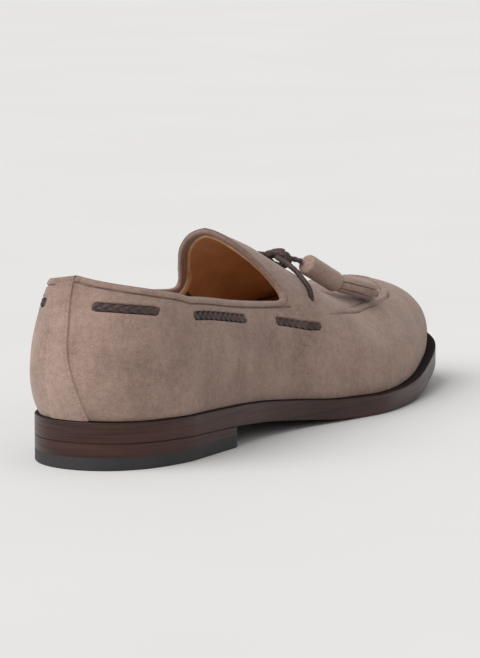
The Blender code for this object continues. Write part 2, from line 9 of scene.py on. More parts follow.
import bmesh
import bpy
import numpy as np
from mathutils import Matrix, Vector


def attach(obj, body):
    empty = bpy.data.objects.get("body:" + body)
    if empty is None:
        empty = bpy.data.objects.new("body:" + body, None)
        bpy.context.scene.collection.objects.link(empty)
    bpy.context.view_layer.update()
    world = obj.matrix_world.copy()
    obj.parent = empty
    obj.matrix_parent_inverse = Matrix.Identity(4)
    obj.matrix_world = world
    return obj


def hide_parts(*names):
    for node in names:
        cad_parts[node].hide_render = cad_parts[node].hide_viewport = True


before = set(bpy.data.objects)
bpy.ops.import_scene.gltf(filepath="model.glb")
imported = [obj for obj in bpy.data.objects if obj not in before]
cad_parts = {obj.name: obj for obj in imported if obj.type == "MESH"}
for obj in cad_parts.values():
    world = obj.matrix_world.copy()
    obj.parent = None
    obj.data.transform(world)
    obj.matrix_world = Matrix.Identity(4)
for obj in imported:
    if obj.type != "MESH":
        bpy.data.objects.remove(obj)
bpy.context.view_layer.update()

# The sizes of the shoe and the tables of its shapes, as in the solids.
LENGTH = 0.2965
BALL_WIDTH = 0.1005
INSTEP_HEIGHT = 0.0885
HEEL_HEIGHT = 0.0113
TOE_SPRING = 0.0154
HEEL_LENGTH = 0.0805
TOP_PIECE = 0.0053
OUTSOLE = 0.0050
WELT = 0.0036
OVERLAY = 0.0009
GAP = 0.0003
CURVED_GAP = 0.0005
STRAP_WIDTH = 0.0105
STRAP_FOOT_WIDTH = 0.0190
STRAP_SHIFT = 0.0045
SEAM_WIDTH = 0.0034
SEAM_HEIGHT = 0.0015
BRAID_WIDTH = 0.0040
LACE_DIAMETER = 0.0023
HEAD_RADIUS = 0.0035
HEAD_END_RADIUS = 0.0046
FRINGE_ROOT_RADIUS = 0.0037
FRINGE_RADIUS = 0.0052
FRINGE_STRIPS = 7
FRINGE_GAP = 0.0011

OUTLINE = {
    "station": (0.0, 0.012, 0.03, 0.06, 0.10, 0.15, 0.25, 0.35,
                0.45, 0.55, 0.65, 0.75, 0.85, 0.93, 0.98, 1.0),
    "outer": (0.0, 0.14, 0.21, 0.274, 0.318, 0.343, 0.343, 0.338,
              0.368, 0.440, 0.495, 0.467, 0.393, 0.305, 0.166, 0.0),
    "inner": (0.0, 0.14, 0.21, 0.274, 0.313, 0.333, 0.326, 0.302,
              0.300, 0.350, 0.443, 0.503, 0.475, 0.360, 0.200, 0.0),
}
LEDGE = {
    "station": (0.0, 0.25, 0.50, 0.75, 1.0),
    "width": (0.0016, 0.0018, 0.0028, 0.0040, 0.0045),
}
ARCH = {
    "station": (0.0, 0.14, 0.28, 0.36, 0.45, 0.54, 0.62),
    "height": (1.0, 0.90, 0.76, 0.60, 0.34, 0.09, 0.0),
}
TREAD_START = 0.62
TREAD_END = 0.70
SPRING_POWER = 1.65
LAST = {
    "turn": (0.0, 0.12, 0.6, 1.0, 1.18, 1.36, 1.50, 1.62, 1.80, 2.0, 3.0),
    "crest": (1.366, 1.366, 1.366, 1.366, 1.20, 0.997, 0.885, 0.758, 0.592, 0.562, 0.568),
    "rise": (0.25, 0.25, 0.26, 0.30, 0.36, 0.42, 0.46, 0.48, 0.48, 0.50, 0.54),
    "shoulder": (0.80, 0.80, 0.80, 0.80, 0.86, 0.96, 1.0, 1.0, 1.0, 1.0, 1.0),
    "outer_flare": (0.37, 0.37, 0.36, 0.28, 0.22, 0.16, 0.12, 0.10, 0.08, 0.07, 0.08),
    "inner_flare": (0.37, 0.37, 0.34, 0.30, 0.34, 0.42, 0.40, 0.28, 0.14, 0.07, 0.08),
    "outer_crown": (0.80, 0.80, 0.80, 0.76, 0.68, 0.58, 0.54, 0.54, 0.62, 0.74, 0.84),
    "inner_crown": (0.80, 0.80, 0.64, 0.72, 0.82, 0.88, 0.84, 0.74, 0.72, 0.76, 0.84),
}
HEEL_CENTRE = 0.15
TOE_CENTRE = 0.82
RIDGE = {
    "station": (0.0, 0.2, 0.45, 0.7, 1.0),
    "offset": (0.0, 0.0, 0.04, 0.045, 0.03),
}
COLLAR = {
    "turn": (0.0, 0.5, 1.0, 1.2, 1.34, 1.47),
    "outer": (0.896, 0.837, 0.770, 0.700, 0.655, 0.621),
    "inner": (0.896, 0.842, 0.778, 0.712, 0.670, 0.640),
}
THROAT_TURN = 1.47
TONGUE_LENGTH = 0.0185
TONGUE = {
    "across": (0.0, 0.25, 0.5, 0.75, 1.0),
    "outer": (1.0, 0.84, 0.55, 0.20, 0.0),
    "inner": (1.0, 0.97, 0.80, 0.40, 0.0),
}
APRON = {
    "turn": (1.47, 1.568, 1.647, 1.73, 1.857, 2.0, 2.2, 2.5, 3.0),
    "share": (0.395, 0.440, 0.492, 0.564, 0.630, 0.672, 0.715, 0.785, 0.849),
}
STRAP_FOOT_TOP = 0.62
STRAP_FLARE = 1.6
SLOTS = {
    "start_turn": (0.139, 1.003, 1.390),
    "end_turn": (0.604, 1.249, 1.557),
    "inner_shift": (0.106, 0.0, 0.0),
}
LACE_ROUTE = {
    "along": (0.5363, 0.5396, 0.5464, 0.5585, 0.5716, 0.5830, 0.6020, 0.6085, 0.6115, 0.6122),
    "outer": (-0.2637, -0.2239, -0.1791, -0.1144, -0.0570, -0.0300, -0.0290, -0.0430, -0.0790, -0.1070),
    "inner": (0.2720, 0.2380, 0.1980, 0.1350, 0.0540, 0.0060, 0.0060, 0.0300, 0.0940, 0.1450),
    "lift": (0.0027, 0.0030, 0.0030, 0.0030, 0.0036, 0.0046, 0.0067, 0.0076, 0.0081, 0.0084),
}
TASSEL_ROUTE = {
    "along": (0.6142, 0.6740, 0.7500),
    "outer": (-0.1234, -0.1810, -0.2420),
    "inner": (0.1620, 0.2300, 0.2800),
    "lift": (0.0083, 0.0064, 0.0048),
}
KNOT_PLACE = (0.5943, -0.0120, 0.0061)
KNOT_HALF_WIDTH = 0.0052
KNOT_HALF_HEIGHT = 0.0031
KNOT_TURNS = 1.25
KNOT_START = 0.15
KNOT_PITCH = 0.0028

# The course that the slots follow along the collar, carried on to the toe: heights above the floor as
# shares of INSTEP_HEIGHT.
SLOT_LINE = {
    "turn": (0.0, 0.139, 0.604, 1.003, 1.249, 1.390, 1.557, 2.0, 3.0),
    "height": (0.768, 0.764, 0.729, 0.681, 0.597, 0.546, 0.475, 0.40, 0.36),
}

# What is worked into the suede: the windows of the braid, with their soft lips, and the groove below the
# fold of the opening, which turns round the corners of the throat.
SLOT_DEPTH = 0.0013
SLOT_LIP = 0.0002
SLOT_EASE = 0.0001
GROOVE_BELOW = 0.0029
GROOVE_WIDTH = 0.00034
GROOVE_DEPTH = 0.0009
CORNER_GROOVE_WIDTH = 0.00055
CORNER_GROOVE_DEPTH = 0.0006
CORNER_GROOVE_FADE = (0.005, 0.015)

# The apron's seam: the turns between which it rises out of the suede and evens out, the share of the solid's
# height that its bead keeps, the grooves beside it and the pitch of its puckers.
SEAM_RISES = (1.56, 1.74)
SEAM_EVENS = (1.80, 2.05)
SEAM_BEAD = 0.55
SEAM_GROOVE_DEPTH = 0.0006
SEAM_GROOVE_WIDTH = 0.00034
SEAM_LINE_WIDTH = 0.0003
PUCKER_PITCH = 0.0027

# The creases below each corner of the throat: depth, distance in front of the corner and width of each.
CREASES = ((-0.0005, 0.004, 0.0040), (0.0003, 0.012, 0.0050))
# The unevenness of lasted suede: height, size and seed of each of its waves.
UNEVEN = ((0.00014, 0.034, 3), (0.00006, 0.011, 5))

# The opening: the points on each side of its edge and across the tongue, and in millimetres, outward and
# over the edge, the profiles of the fold and of the raw edge of the lining inside it.
MILLIMETRE = 0.001
SIDE_POINTS = 150
TONGUE_POINTS = 34
FOLD_OUTWARD = (-0.35, 0.28, 0.40, 0.38, 0.20, -0.25, -0.9, -1.5, -2.0, -2.28, -2.36, -2.38, -2.3, -2.0)
FOLD_OVER = (-2.65, -2.45, -2.0, -1.2, -0.45, 0.02, 0.22, 0.20, -0.02, -0.5, -1.2, -2.2, -2.9, -3.1)
FOLD_INSIDE = 9
TONGUE_FOLD_DEEPER = 0.8
RAW_OUTWARD = (-2.20, -2.30, -2.80, -3.35, -3.35)
RAW_OVER = (-3.3, -2.35, -2.22, -2.35, -3.4)
RAW_CORNER_DEEPER = 2.2
LINING_DEPTH = 0.0019
INNER_CORNER = 2 * SIDE_POINTS - 2

# The strap over the heel's seam: its stitch rows, how its top leans and its foot spreads, and the profile
# of its turned top, outward and upward from its edge.
STITCH_INSET = 0.0012
STITCH_PITCH = 0.0022
STRAP_TOP_ROW = 0.0025
STRAP_LEAN = 0.0018
STRAP_SPREAD = 0.0032
STRAP_ROLL = (
    (0.00078, -0.0007), (0.00064, -0.0004), (0.0004, -0.0001), (-0.0001, 0.00012),
    (-0.0009, 0.00030), (-0.0016, 0.0004), (-0.0022, 0.0), (-0.00255, -0.0007),
    (-0.0026, -0.0018), (-0.0025, -0.0030),
)
STRAP_UNEVEN = (0.00008, 0.009, 9)

# The lace: the pitch of its round braid, and the pitch and the strands of the flat braid in the slots.
LACE_STEP = 0.00025
BRAID_PITCH = 0.0058
KNOT_LOWER = 0.0015
KNOT_STRAND = 1.3
PLAIT_PITCH = 0.0138
PLAIT_STRAND = 0.00096
PLAIT_HALF_HEIGHT = 0.00048
PLAIT_RISE = 0.00038
PLAIT_DEPTH = 0.00062

# The tassels: the head's profile as shares of its length and its radius, the step of its last turn, and the
# strips of the fringe.
HEAD_PROFILE = (
    (0.0, 0.0), (0.0, 0.40), (0.0, 0.82), (0.012, 0.95), (0.04, 1.03), (0.09, 1.06), (0.3, 1.04),
    (0.5, 1.03), (0.7, 1.02), (0.92, 1.02), (0.97, 1.0), (0.995, 0.95), (1.0, 0.85), (1.0, 0.4), (1.0, 0.0),
)
HEAD_THICKER = 0.0010
HEAD_SEAM = 2.2
HEAD_STEP = 0.06
STRIP_THICKNESS = 0.0009
FRINGE_TURN = 0.65
FRINGE_SPREAD = 1.1
FRINGE_TIPS = (-0.0012, 0.0004)

# The camera's place, what it is aimed at and its focal length in millimetres, and the studio's light.
CAMERA_PLACE = (-1.5379, -0.8498, 0.2955)
CAMERA_AIM = (-0.0030, -0.0010, 0.0400)
LENS = 221.5
KEY_FROM = (-0.60, 0.30, 0.74)
KEY_STRENGTH = 2.15
KEY_SPREAD = 1.0
ROOM_COLOUR = (1.0, 0.995, 0.985, 1.0)
ROOM_STRENGTH = 0.50


def unit(vectors):
    """Vectors brought to a length of one."""
    return vectors / np.linalg.norm(vectors, axis=-1, keepdims=True)


def arc_lengths(points):
    """The distance along a line of points up to each of them."""
    return np.concatenate([[0], np.cumsum(np.linalg.norm(np.diff(points, axis=0), axis=1))])


def read_line(at, marks, points):
    """Places between the points of a line, read at marks along it."""
    return np.stack([np.interp(at, marks, points[:, axis]) for axis in range(points.shape[1])], -1)


def smooth(table, column, at):
    """Reads a column of a table between its rows, along a curve that never overshoots them."""
    x = np.asarray(next(iter(table.values())), float)
    y = np.asarray(table[column], float)
    step = np.diff(x)
    rise = np.diff(y) / step
    slope = np.zeros_like(y)
    same = rise[:-1] * rise[1:] > 0
    before = 2 * step[1:] + step[:-1]
    after = step[1:] + 2 * step[:-1]
    safe = np.where(same, rise[:-1], 1.0), np.where(same, rise[1:], 1.0)
    slope[1:-1] = np.where(same, (before + after) / (before / safe[0] + after / safe[1]), 0.0)
    slope[0], slope[-1] = rise[0], rise[-1]
    at = np.clip(at, x[0], x[-1])
    i = np.clip(np.searchsorted(x, at) - 1, 0, len(step) - 1)
    t = (at - x[i]) / step[i]
    return (
        y[i] * (1 + 2 * t) * (1 - t) ** 2
        + slope[i] * step[i] * t * (1 - t) ** 2
        + y[i + 1] * t**2 * (3 - 2 * t)
        + slope[i + 1] * step[i] * t**2 * (t - 1)
    )


ROUND_OUTLINE = {
    "angle": tuple(math.acos(1 - 2 * share) for share in OUTLINE["station"]),
    "outer": OUTLINE["outer"],
    "inner": OUTLINE["inner"],
}


def half_width(x, side):
    """The sole's half width on one side at a distance from the heel's back, round at both ends."""
    angle = np.arccos(np.clip(1 - 2 * np.asarray(x) / LENGTH, -1, 1))
    return BALL_WIDTH * smooth(ROUND_OUTLINE, side, angle)


def tread(x):
    """The height of the outsole's underside above the floor."""
    share = np.asarray(x) / LENGTH
    arch = HEEL_HEIGHT * smooth(ARCH, "height", np.minimum(share, TREAD_START))
    toe = np.clip((share - TREAD_END) / (1 - TREAD_END), 0, None)
    return arch + TOE_SPRING * toe**SPRING_POWER


def seat(x):
    """The height of the welt's upper face, where the upper begins."""
    return tread(x) + OUTSOLE + GAP + WELT


def inward_of(loop):
    """The inward direction at each point of a closed plan loop that runs anticlockwise."""
    along = unit(np.roll(loop, -1, 0) - np.roll(loop, 1, 0))
    return np.stack([-along[:, 1], along[:, 0]], 1)


def sole_outline(ledge_shade_and_dye=0.0, count=400):
    """The closed plan outline of the sole, round the outer side first, moved in by a share of its ledge."""
    angle = np.linspace(0, math.pi, count // 2 + 1)
    x = LENGTH * (1 - np.cos(angle)) / 2
    outer = np.stack([x, -half_width(x, "outer")], 1)
    inner = np.stack([x, half_width(x, "inner")], 1)[::-1]
    loop = np.concatenate([outer, inner[1:-1]])
    distance = ledge_shade_and_dye * smooth(LEDGE, "width", loop[:, 0] / LENGTH)
    return loop + inward_of(loop) * np.reshape(distance, (-1, 1))


FEATHER = sole_outline(ledge_shade_and_dye=1.0)


def reach(centre, direction):
    """The distance from a point inside the feather edge to it, along a direction in plan."""
    edge = np.roll(FEATHER, -1, 0) - FEATHER
    to_start = FEATHER - centre
    cross = direction[0] * edge[:, 1] - direction[1] * edge[:, 0]
    cross = np.where(np.abs(cross) < 1e-12, 1e-12, cross)
    along = (to_start[:, 0] * edge[:, 1] - to_start[:, 1] * edge[:, 0]) / cross
    share = (to_start[:, 0] * direction[1] - to_start[:, 1] * direction[0]) / cross
    hit = (share >= -1e-6) & (share <= 1 + 1e-6) & (along > 0)
    return along[hit].min()


def ridge(x):
    """How far the top of the foot leans to the inner side."""
    return BALL_WIDTH * smooth(RIDGE, "offset", np.asarray(x) / LENGTH)


def section_line(turn, side):
    """The centre of a section in plan, and the direction in which it runs out to the feather edge."""
    sign = -1.0 if side == "outer" else 1.0
    if turn < 1:
        angle = turn * math.pi / 2
        return np.array([HEEL_CENTRE * LENGTH, 0.0]), np.array([-math.cos(angle), sign * math.sin(angle)])
    if turn < 2:
        x = LENGTH * (HEEL_CENTRE + (turn - 1) * (TOE_CENTRE - HEEL_CENTRE))
        return np.array([x, ridge(x)]), np.array([0.0, sign])
    angle = (turn - 2) * math.pi / 2
    x = LENGTH * TOE_CENTRE
    return np.array([x, ridge(x)]), np.array([math.sin(angle), sign * math.cos(angle)])


def turn_at(x):
    """The turn of the straight section at a share of LENGTH."""
    return 1 + (x - HEEL_CENTRE) / (TOE_CENTRE - HEEL_CENTRE)


class Section:
    """One section of the last as a fine curve, from the feather edge up to the crest."""

    def __init__(self, turn, side):
        centre, direction = section_line(turn, side)
        wide = reach(centre, direction)
        base = float(seat((centre + direction * wide)[0])) + GAP
        height = INSTEP_HEIGHT * float(smooth(LAST, "crest", turn)) - base
        flare = float(smooth(LAST, f"{side}_flare", turn))
        crown = float(smooth(LAST, f"{side}_crown", turn))
        rise = float(smooth(LAST, "rise", turn))
        shoulder = float(smooth(LAST, "shoulder", turn))
        v = np.linspace(0, 1, 241)
        w = np.array([(1 - v) ** 3, 3 * (1 - v) ** 2 * v, 3 * (1 - v) * v**2, v**3])
        out = np.array([wide, wide * (1 + flare), wide * crown, 0.0]) @ w
        up = base + height * (np.array([0.0, rise, shoulder, 1.0]) @ w)
        plan = centre + np.outer(out, direction)
        self.shares = v
        self.points = np.column_stack([plan, up])
        self.arc = arc_lengths(self.points)

    def at_arc(self, arc):
        """The places at arc lengths up the section."""
        return read_line(arc, self.arc, self.points)

    def arc_at_height(self, height):
        """The arc length at a height above the floor."""
        return float(np.interp(height, self.points[:, 2], self.arc))

    def arc_at_share(self, share):
        """The arc length at a share of the way from the feather edge to the crest."""
        return float(np.interp(share, self.shares, self.arc))


def vamp_height(x, y):
    """The height of the vamp above the floor at a place on it."""
    middle = float(ridge(x))
    section = Section(turn_at(x / LENGTH), "outer" if y < middle else "inner")
    top = section.points[::-1][:144]
    return float(np.interp(abs(y - middle), np.abs(top[:, 1] - middle), top[:, 2]))


def box_middle():
    """The middle of the shoe's box in plan, which is the origin of the solids."""
    back = Section(0.0, "outer").points[:, 0].min() - CURVED_GAP - OVERLAY
    outline = sole_outline()
    return (back + outline[:, 0].max()) / 2, (outline[:, 1].min() + outline[:, 1].max()) / 2


MIDDLE = np.array([*box_middle(), 0.0])


def over_vamp(along, across, lift):
    """A point above the vamp in the frame of the solids."""
    x = along * LENGTH
    y = across * BALL_WIDTH
    return np.array([x, y, vamp_height(x, y) + lift]) - MIDDLE


def route_points(table, side):
    """The points of a route over the vamp on one side of the shoe."""
    return np.array([over_vamp(*row) for row in zip(table["along"], table[side], table["lift"])])


def through(route, spacing):
    """Points at an even spacing along a smooth curve through a route."""
    route = np.asarray(route, float)
    fine = []
    for i in range(len(route) - 1):
        a, b = route[i], route[i + 1]
        before = route[max(i - 1, 0)]
        after = route[min(i + 2, len(route) - 1)]
        for t in np.linspace(0, 1, 16, endpoint=False):
            fine.append(0.5 * ((2 * a) + (b - before) * t + (2 * before - 5 * a + 4 * b - after) * t**2
                               + (3 * a - before - 3 * b + after) * t**3))
    fine = np.array([*fine, route[-1]])
    arc = arc_lengths(fine)
    return read_line(np.linspace(0, arc[-1], max(4, round(arc[-1] / spacing) + 1)), arc, fine)


def step_up(value, low, high):
    """0 below low, 1 above high, and a soft step between."""
    t = np.clip((value - low) / (high - low), 0, 1)
    return t * t * (3 - 2 * t)


def finish_piece(bm, name, material, replaces):
    """Makes the mesh an object in the shoe's frame that rides on its one body."""
    mesh = bpy.data.meshes.new(name)
    bm.to_mesh(mesh)
    bm.free()
    mesh.shade_smooth()
    mesh.materials.append(material)
    piece = bpy.data.objects.new(name, mesh)
    bpy.context.scene.collection.objects.link(piece)
    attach(piece, "root")
    if replaces:
        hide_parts(*replaces)
    return piece


def absorb(whole, other):
    """Moves one mesh in the making into another."""
    mesh = bpy.data.meshes.new("part")
    other.to_mesh(mesh)
    other.free()
    whole.from_mesh(mesh)
    bpy.data.meshes.remove(mesh)


def mark_painted_shade_and_ledge_dye(bm, values):
    """Stores at each point how much the materials darken it: painted shade in the hollows of the suede, and
    on the sole's top ledge painted shade together with its darker dye.
    """
    layer = bm.verts.layers.float.new("painted_shade_and_ledge_dye")
    for vert, value in zip(bm.verts, np.ravel(values)):
        vert[layer] = value


def sheet(places, closed=False, outward=True):
    """A sheet of quads moved to a grid of places, with its long way round closed or open."""
    columns, rows = places.shape[:2]
    bm = bmesh.new()
    bmesh.ops.create_grid(bm, x_segments=rows - 1, y_segments=columns - 1, size=1.0)
    bm.verts.ensure_lookup_table()
    for vert, place in zip(bm.verts, places.reshape(-1, 3)):
        vert.co = place
    if closed:
        bm.edges.ensure_lookup_table()
        first = {vert.index for vert in bm.verts[:rows]}
        last = {vert.index for vert in bm.verts[-rows:]}
        near = [edge for edge in bm.edges if {v.index for v in edge.verts} <= first]
        far = [edge for edge in bm.edges if {v.index for v in edge.verts} <= last]
        bmesh.ops.bridge_loops(bm, edges=near + far)
    if not outward:
        bmesh.ops.reverse_faces(bm, faces=bm.faces)
    return bm


def grid_normals(places, closed):
    """The unit normals of a grid of places, columns crossed with rows."""
    if closed:
        wrapped = np.concatenate([places[-1:], places, places[:1]])
        along = (wrapped[2:] - wrapped[:-2]) / 2
    else:
        along = np.gradient(places, axis=0)
    up = np.gradient(places, axis=1)
    normals = np.cross(along, up)
    return normals / np.maximum(np.linalg.norm(normals, axis=2, keepdims=True), 1e-12)


def upward_normals(places):
    """The unit normals of an open grid of places, turned to point up."""
    normals = grid_normals(places, closed=False)
    return normals * np.sign(normals[..., 2:3])


SECTIONS = {}


def section(turn, side):
    """A section of the last, worked out once. A turn under 0 or over 3 runs on round the other side."""
    if turn < 0 or turn > 3:
        turn = -turn if turn < 0 else 6 - turn
        side = "inner" if side == "outer" else "outer"
    key = (round(turn, 6), side)
    if key not in SECTIONS:
        SECTIONS[key] = Section(turn, side)
    return SECTIONS[key]


def collar_arc(turn, side):
    """The arc length up a section at which the collar's edge lies, behind the throat."""
    height = INSTEP_HEIGHT * float(smooth(COLLAR, side, turn))
    return section(turn, side).arc_at_height(height)


def corner_share(side):
    """The share of the throat's section at which the collar meets the tongue."""
    line = section(THROAT_TURN, side)
    return float(np.interp(collar_arc(THROAT_TURN, side), line.arc, line.shares))


CORNER = {side: corner_share(side) for side in ("outer", "inner")}


def seam_share(turn, side):
    """The share at which the wall ends and the apron begins, from the throat's corner to the toe."""
    blend = float(step_up(turn, THROAT_TURN, THROAT_TURN + 0.13))
    return CORNER[side] + (float(smooth(APRON, "share", turn)) - CORNER[side]) * blend


def edge_arc(turn, side):
    """The arc length of the wall's upper edge: the collar behind the throat, the apron's seam in front."""
    if turn <= THROAT_TURN:
        return collar_arc(turn, side)
    return section(turn, side).arc_at_share(seam_share(turn, side))


def slot_arc(turn, side):
    """The arc length of the line on which the slots lie."""
    height = INSTEP_HEIGHT * float(smooth(SLOT_LINE, "height", turn))
    return section(turn, side).arc_at_height(height)


def skin(turn, side, arcs):
    """Places on the upper along one section, and the outward directions there."""
    here = section(turn, side)
    shares = np.interp(arcs, here.arc, here.shares)
    step = 0.006
    sides = []
    for nudged in (turn + step, turn - step):
        line = section(nudged, side)
        sides.append(line.at_arc(np.interp(shares, line.shares, line.arc)))
    along = sides[0] - sides[1]
    small = 0.0004
    up = here.at_arc(np.minimum(arcs + small, here.arc[-1])) - here.at_arc(np.maximum(arcs - small, 0))
    normals = unit(np.cross(along, up))
    away = np.array([*section_line(turn, side)[1], 0.6])
    normals *= np.where(normals @ away > 0, 1.0, -1.0)[:, None]
    return here.at_arc(arcs) - MIDDLE, normals


# The turns of the columns, closer together where the suede is worked, and the same for wall and vamp.
TURNS = np.concatenate([
    np.linspace(0, 1, 80),
    np.linspace(1, THROAT_TURN, 116)[1:],
    np.linspace(THROAT_TURN, 2, 124)[1:],
    np.linspace(2, 3, 92)[1:],
])
LOW_ROWS, HIGH_ROWS, APRON_ROWS, TONGUE_COLUMNS = 32, 15, 36, 22
SLOT_HALF = BRAID_WIDTH / 2 + SLOT_EASE


def wall_arcs(turn, side):
    """The arc lengths of the wall's rows: up to the slot line, across it, and on to the upper edge."""
    middle = slot_arc(turn, side)
    top = edge_arc(turn, side)
    lip = SLOT_HALF + 0.00012
    low = np.linspace(0, middle - lip, LOW_ROWS)
    band = middle + lip * np.array([-0.93, -0.80, -0.4, 0.0, 0.4, 0.80, 0.93, 1.0])
    high = np.linspace(middle + lip, top, HIGH_ROWS + 1)[1:]
    return np.concatenate([low, band, high])


def loop_columns():
    """The columns of the wall, round the outer side to the toe and back along the inner side."""
    outer = [(turn, "outer") for turn in TURNS]
    inner = [(turn, "inner") for turn in TURNS[-2:0:-1]]
    return outer + inner


def slot_turns(side):
    """The turns at the ends of the three slots on one side."""
    shifts = SLOTS["inner_shift"] if side == "inner" else (0.0, 0.0, 0.0)
    return [(start + shift, end + shift)
            for start, end, shift in zip(SLOTS["start_turn"], SLOTS["end_turn"], shifts)]


def slot_distance(turn, side, arcs):
    """How far places on a section are outside the nearest slot's edge. Negative inside it."""
    middle = slot_arc(turn, side)
    nearest = np.full(len(arcs), 1.0)
    for start, end in slot_turns(side):
        if not start - 0.08 < turn < end + 0.08:
            continue
        ends = [section(t, side).at_arc(slot_arc(t, side)) for t in (start, end)]
        here = section(turn, side).at_arc(middle)
        beyond = max(start - turn, turn - end)
        near = ends[0] if start - turn > turn - end else ends[1]
        past = math.copysign(np.linalg.norm(here - near), beyond)
        across = np.abs(arcs - middle)
        distance = np.hypot(np.maximum(past + SLOT_HALF, 0), across) - SLOT_HALF
        nearest = np.minimum(nearest, distance)
    return nearest


def seam_distance(turn, side, arcs):
    """How far places on a section are above the middle of the apron's seam."""
    return arcs - section(turn, side).arc_at_share(float(smooth(APRON, "share", turn)))


def beside_seam(distance, width):
    """1 in the middle of the grooves beside the seam, and falling to 0 within a width of them."""
    return np.exp(-(((np.abs(distance) - SEAM_WIDTH / 2 - 0.0001) / width) ** 2))


def pucker_at(path):
    """How far the seam is drawn in by its puckers at a distance along it."""
    return 0.5 + 0.5 * math.cos(2 * math.pi * path / PUCKER_PITCH)


def seam_relief(distance, turn, pucker):
    """The raised seam and the two fine grooves beside it, which rise in front of the throat."""
    uneven = 0.45 - 0.30 * step_up(turn, *SEAM_EVENS)
    inside = np.clip(1 - (distance / (SEAM_WIDTH / 2)) ** 2, 0, 1)
    bead = SEAM_HEIGHT * SEAM_BEAD * inside**0.7 * (1 - uneven * pucker)
    grooves = SEAM_GROOVE_DEPTH * beside_seam(distance, SEAM_GROOVE_WIDTH)
    return step_up(turn, *SEAM_RISES) * (bead - grooves)


def seam_shade(distance, turn):
    """How much painted shade darkens the seam's side grooves at a distance from its middle."""
    return 0.95 * beside_seam(distance, SEAM_LINE_WIDTH) * float(step_up(turn, 1.58, 1.78))


def soft_noise(places, size, seed):
    """A smooth, repeatable unevenness between -1 and 1 of about a size in metres."""
    rng = np.random.default_rng(seed)
    total = np.zeros(places.shape[:-1])
    for _ in range(7):
        direction = rng.normal(size=3)
        direction *= 2 * math.pi / size / np.linalg.norm(direction)
        total += np.sin(places @ direction * rng.uniform(0.7, 1.3) + rng.uniform(0, 2 * math.pi))
    return total / 4


def worked_suede(places, relief):
    """Adds the slight unevenness of lasted suede to a relief."""
    return relief + sum(height * soft_noise(places, size, seed) for height, size, seed in UNEVEN)


def throat_corner(side):
    """The place where the opening's edge turns from the collar into the tongue."""
    return skin(THROAT_TURN, side, np.array([collar_arc(THROAT_TURN, side)]))[0][0]


def throat_crease(places):
    """The soft folds that run down from each corner of the throat, where the vamp bends in wear."""
    depth = np.zeros(places.shape[:-1])
    for side, sign in (("outer", -1.0), ("inner", 1.0)):
        away = places - throat_corner(side)
        forward = away[..., 0] + 0.25 * away[..., 2]
        down = -away[..., 2]
        near = step_up(down, 0.001, 0.010) * (1 - step_up(down, 0.018, 0.036))
        near = near * (sign * places[..., 1] > 0)
        for deep, in_front, width in CREASES:
            depth += near * deep * np.exp(-(((forward - in_front) / width) ** 2))
    return depth


def throat_groove(places):
    """How deep the groove beside the fold runs, and how much painted shade darkens it, where it turns round
    each corner of the throat.
    """
    path = mouth_path()[0]
    flat = places.reshape(-1, 3)
    shown = np.zeros(len(flat))
    for side in ("outer", "inner"):
        corner = throat_corner(side)
        away = np.linalg.norm(flat - corner, axis=1)
        close = (away < 0.016) & (flat[:, 0] > corner[0] - 0.0006)
        line = path[np.linalg.norm(path - corner, axis=1) < 0.022]
        gap = np.linalg.norm(flat[close][:, None] - line[None], axis=2).min(axis=1)
        fade = 1 - step_up(away[close], *CORNER_GROOVE_FADE)
        shown[close] = np.exp(-(((gap - GROOVE_BELOW) / CORNER_GROOVE_WIDTH) ** 2)) * fade
    return shown.reshape(places.shape[:-1])


def make_upper(suede):
    """The suede of the upper: the wall all round, with slots, and the vamp with its tongue."""
    places, reliefs, painted_shades = [], [], []
    path = 0.0
    for turn, side in loop_columns():
        arcs = wall_arcs(turn, side)
        line = section(turn, side).at_arc(arcs) - MIDDLE
        if places:
            path += np.linalg.norm(line[-1] - places[-1][-1])
        distance = slot_distance(turn, side, arcs)
        from_seam = seam_distance(turn, side, arcs)
        relief = seam_relief(from_seam, turn, pucker_at(path))
        relief = relief - SLOT_DEPTH * (1 - step_up(distance, -0.00045, 0.00010))
        relief = relief + SLOT_LIP * np.exp(-(((distance - 0.0006) / 0.0006) ** 2)) * (distance > -0.0002)
        # Painted shade: the suede inside each slot is darkened, as are the groove below the fold and the
        # seam's side grooves.
        slot_painted_shade = 1 - step_up(distance, -0.0006, 0.0)
        fade = 1 - float(step_up(turn, THROAT_TURN - 0.006, THROAT_TURN + 0.012))
        groove = np.exp(-(((arcs[-1] - arcs - GROOVE_BELOW) / GROOVE_WIDTH) ** 2)) * fade
        relief = relief - GROOVE_DEPTH * groove
        places.append(line)
        reliefs.append(relief)
        painted_shades.append(np.maximum(np.maximum(slot_painted_shade, 0.8 * groove), seam_shade(from_seam, turn)))
    places = np.array(places)
    normals = grid_normals(places, closed=True)
    round_corner = throat_groove(places)
    relief = worked_suede(places, np.array(reliefs)) + throat_crease(places)
    relief = relief - CORNER_GROOVE_DEPTH * round_corner
    bm = sheet(places + normals * relief[..., None], closed=True)
    # Painted shade also in the groove round each corner of the throat.
    mark_painted_shade_and_ledge_dye(bm, np.maximum(np.array(painted_shades), 0.7 * round_corner))

    vamp, relief, painted_shades = vamp_places()
    round_corner = throat_groove(vamp)
    relief = worked_suede(vamp, relief - CORNER_GROOVE_DEPTH * round_corner)
    top = sheet(vamp + upward_normals(vamp) * relief[..., None], outward=False)
    # Painted shade on the vamp: in the seam's side grooves and the groove round each corner of the throat.
    mark_painted_shade_and_ledge_dye(top, np.maximum(painted_shades, 0.7 * round_corner))
    absorb(bm, top)
    bmesh.ops.remove_doubles(bm, verts=bm.verts, dist=0.00025)
    bmesh.ops.recalc_face_normals(bm, faces=bm.faces)
    return finish_piece(bm, "suede_upper", suede, ("upper", "apron_seam"))


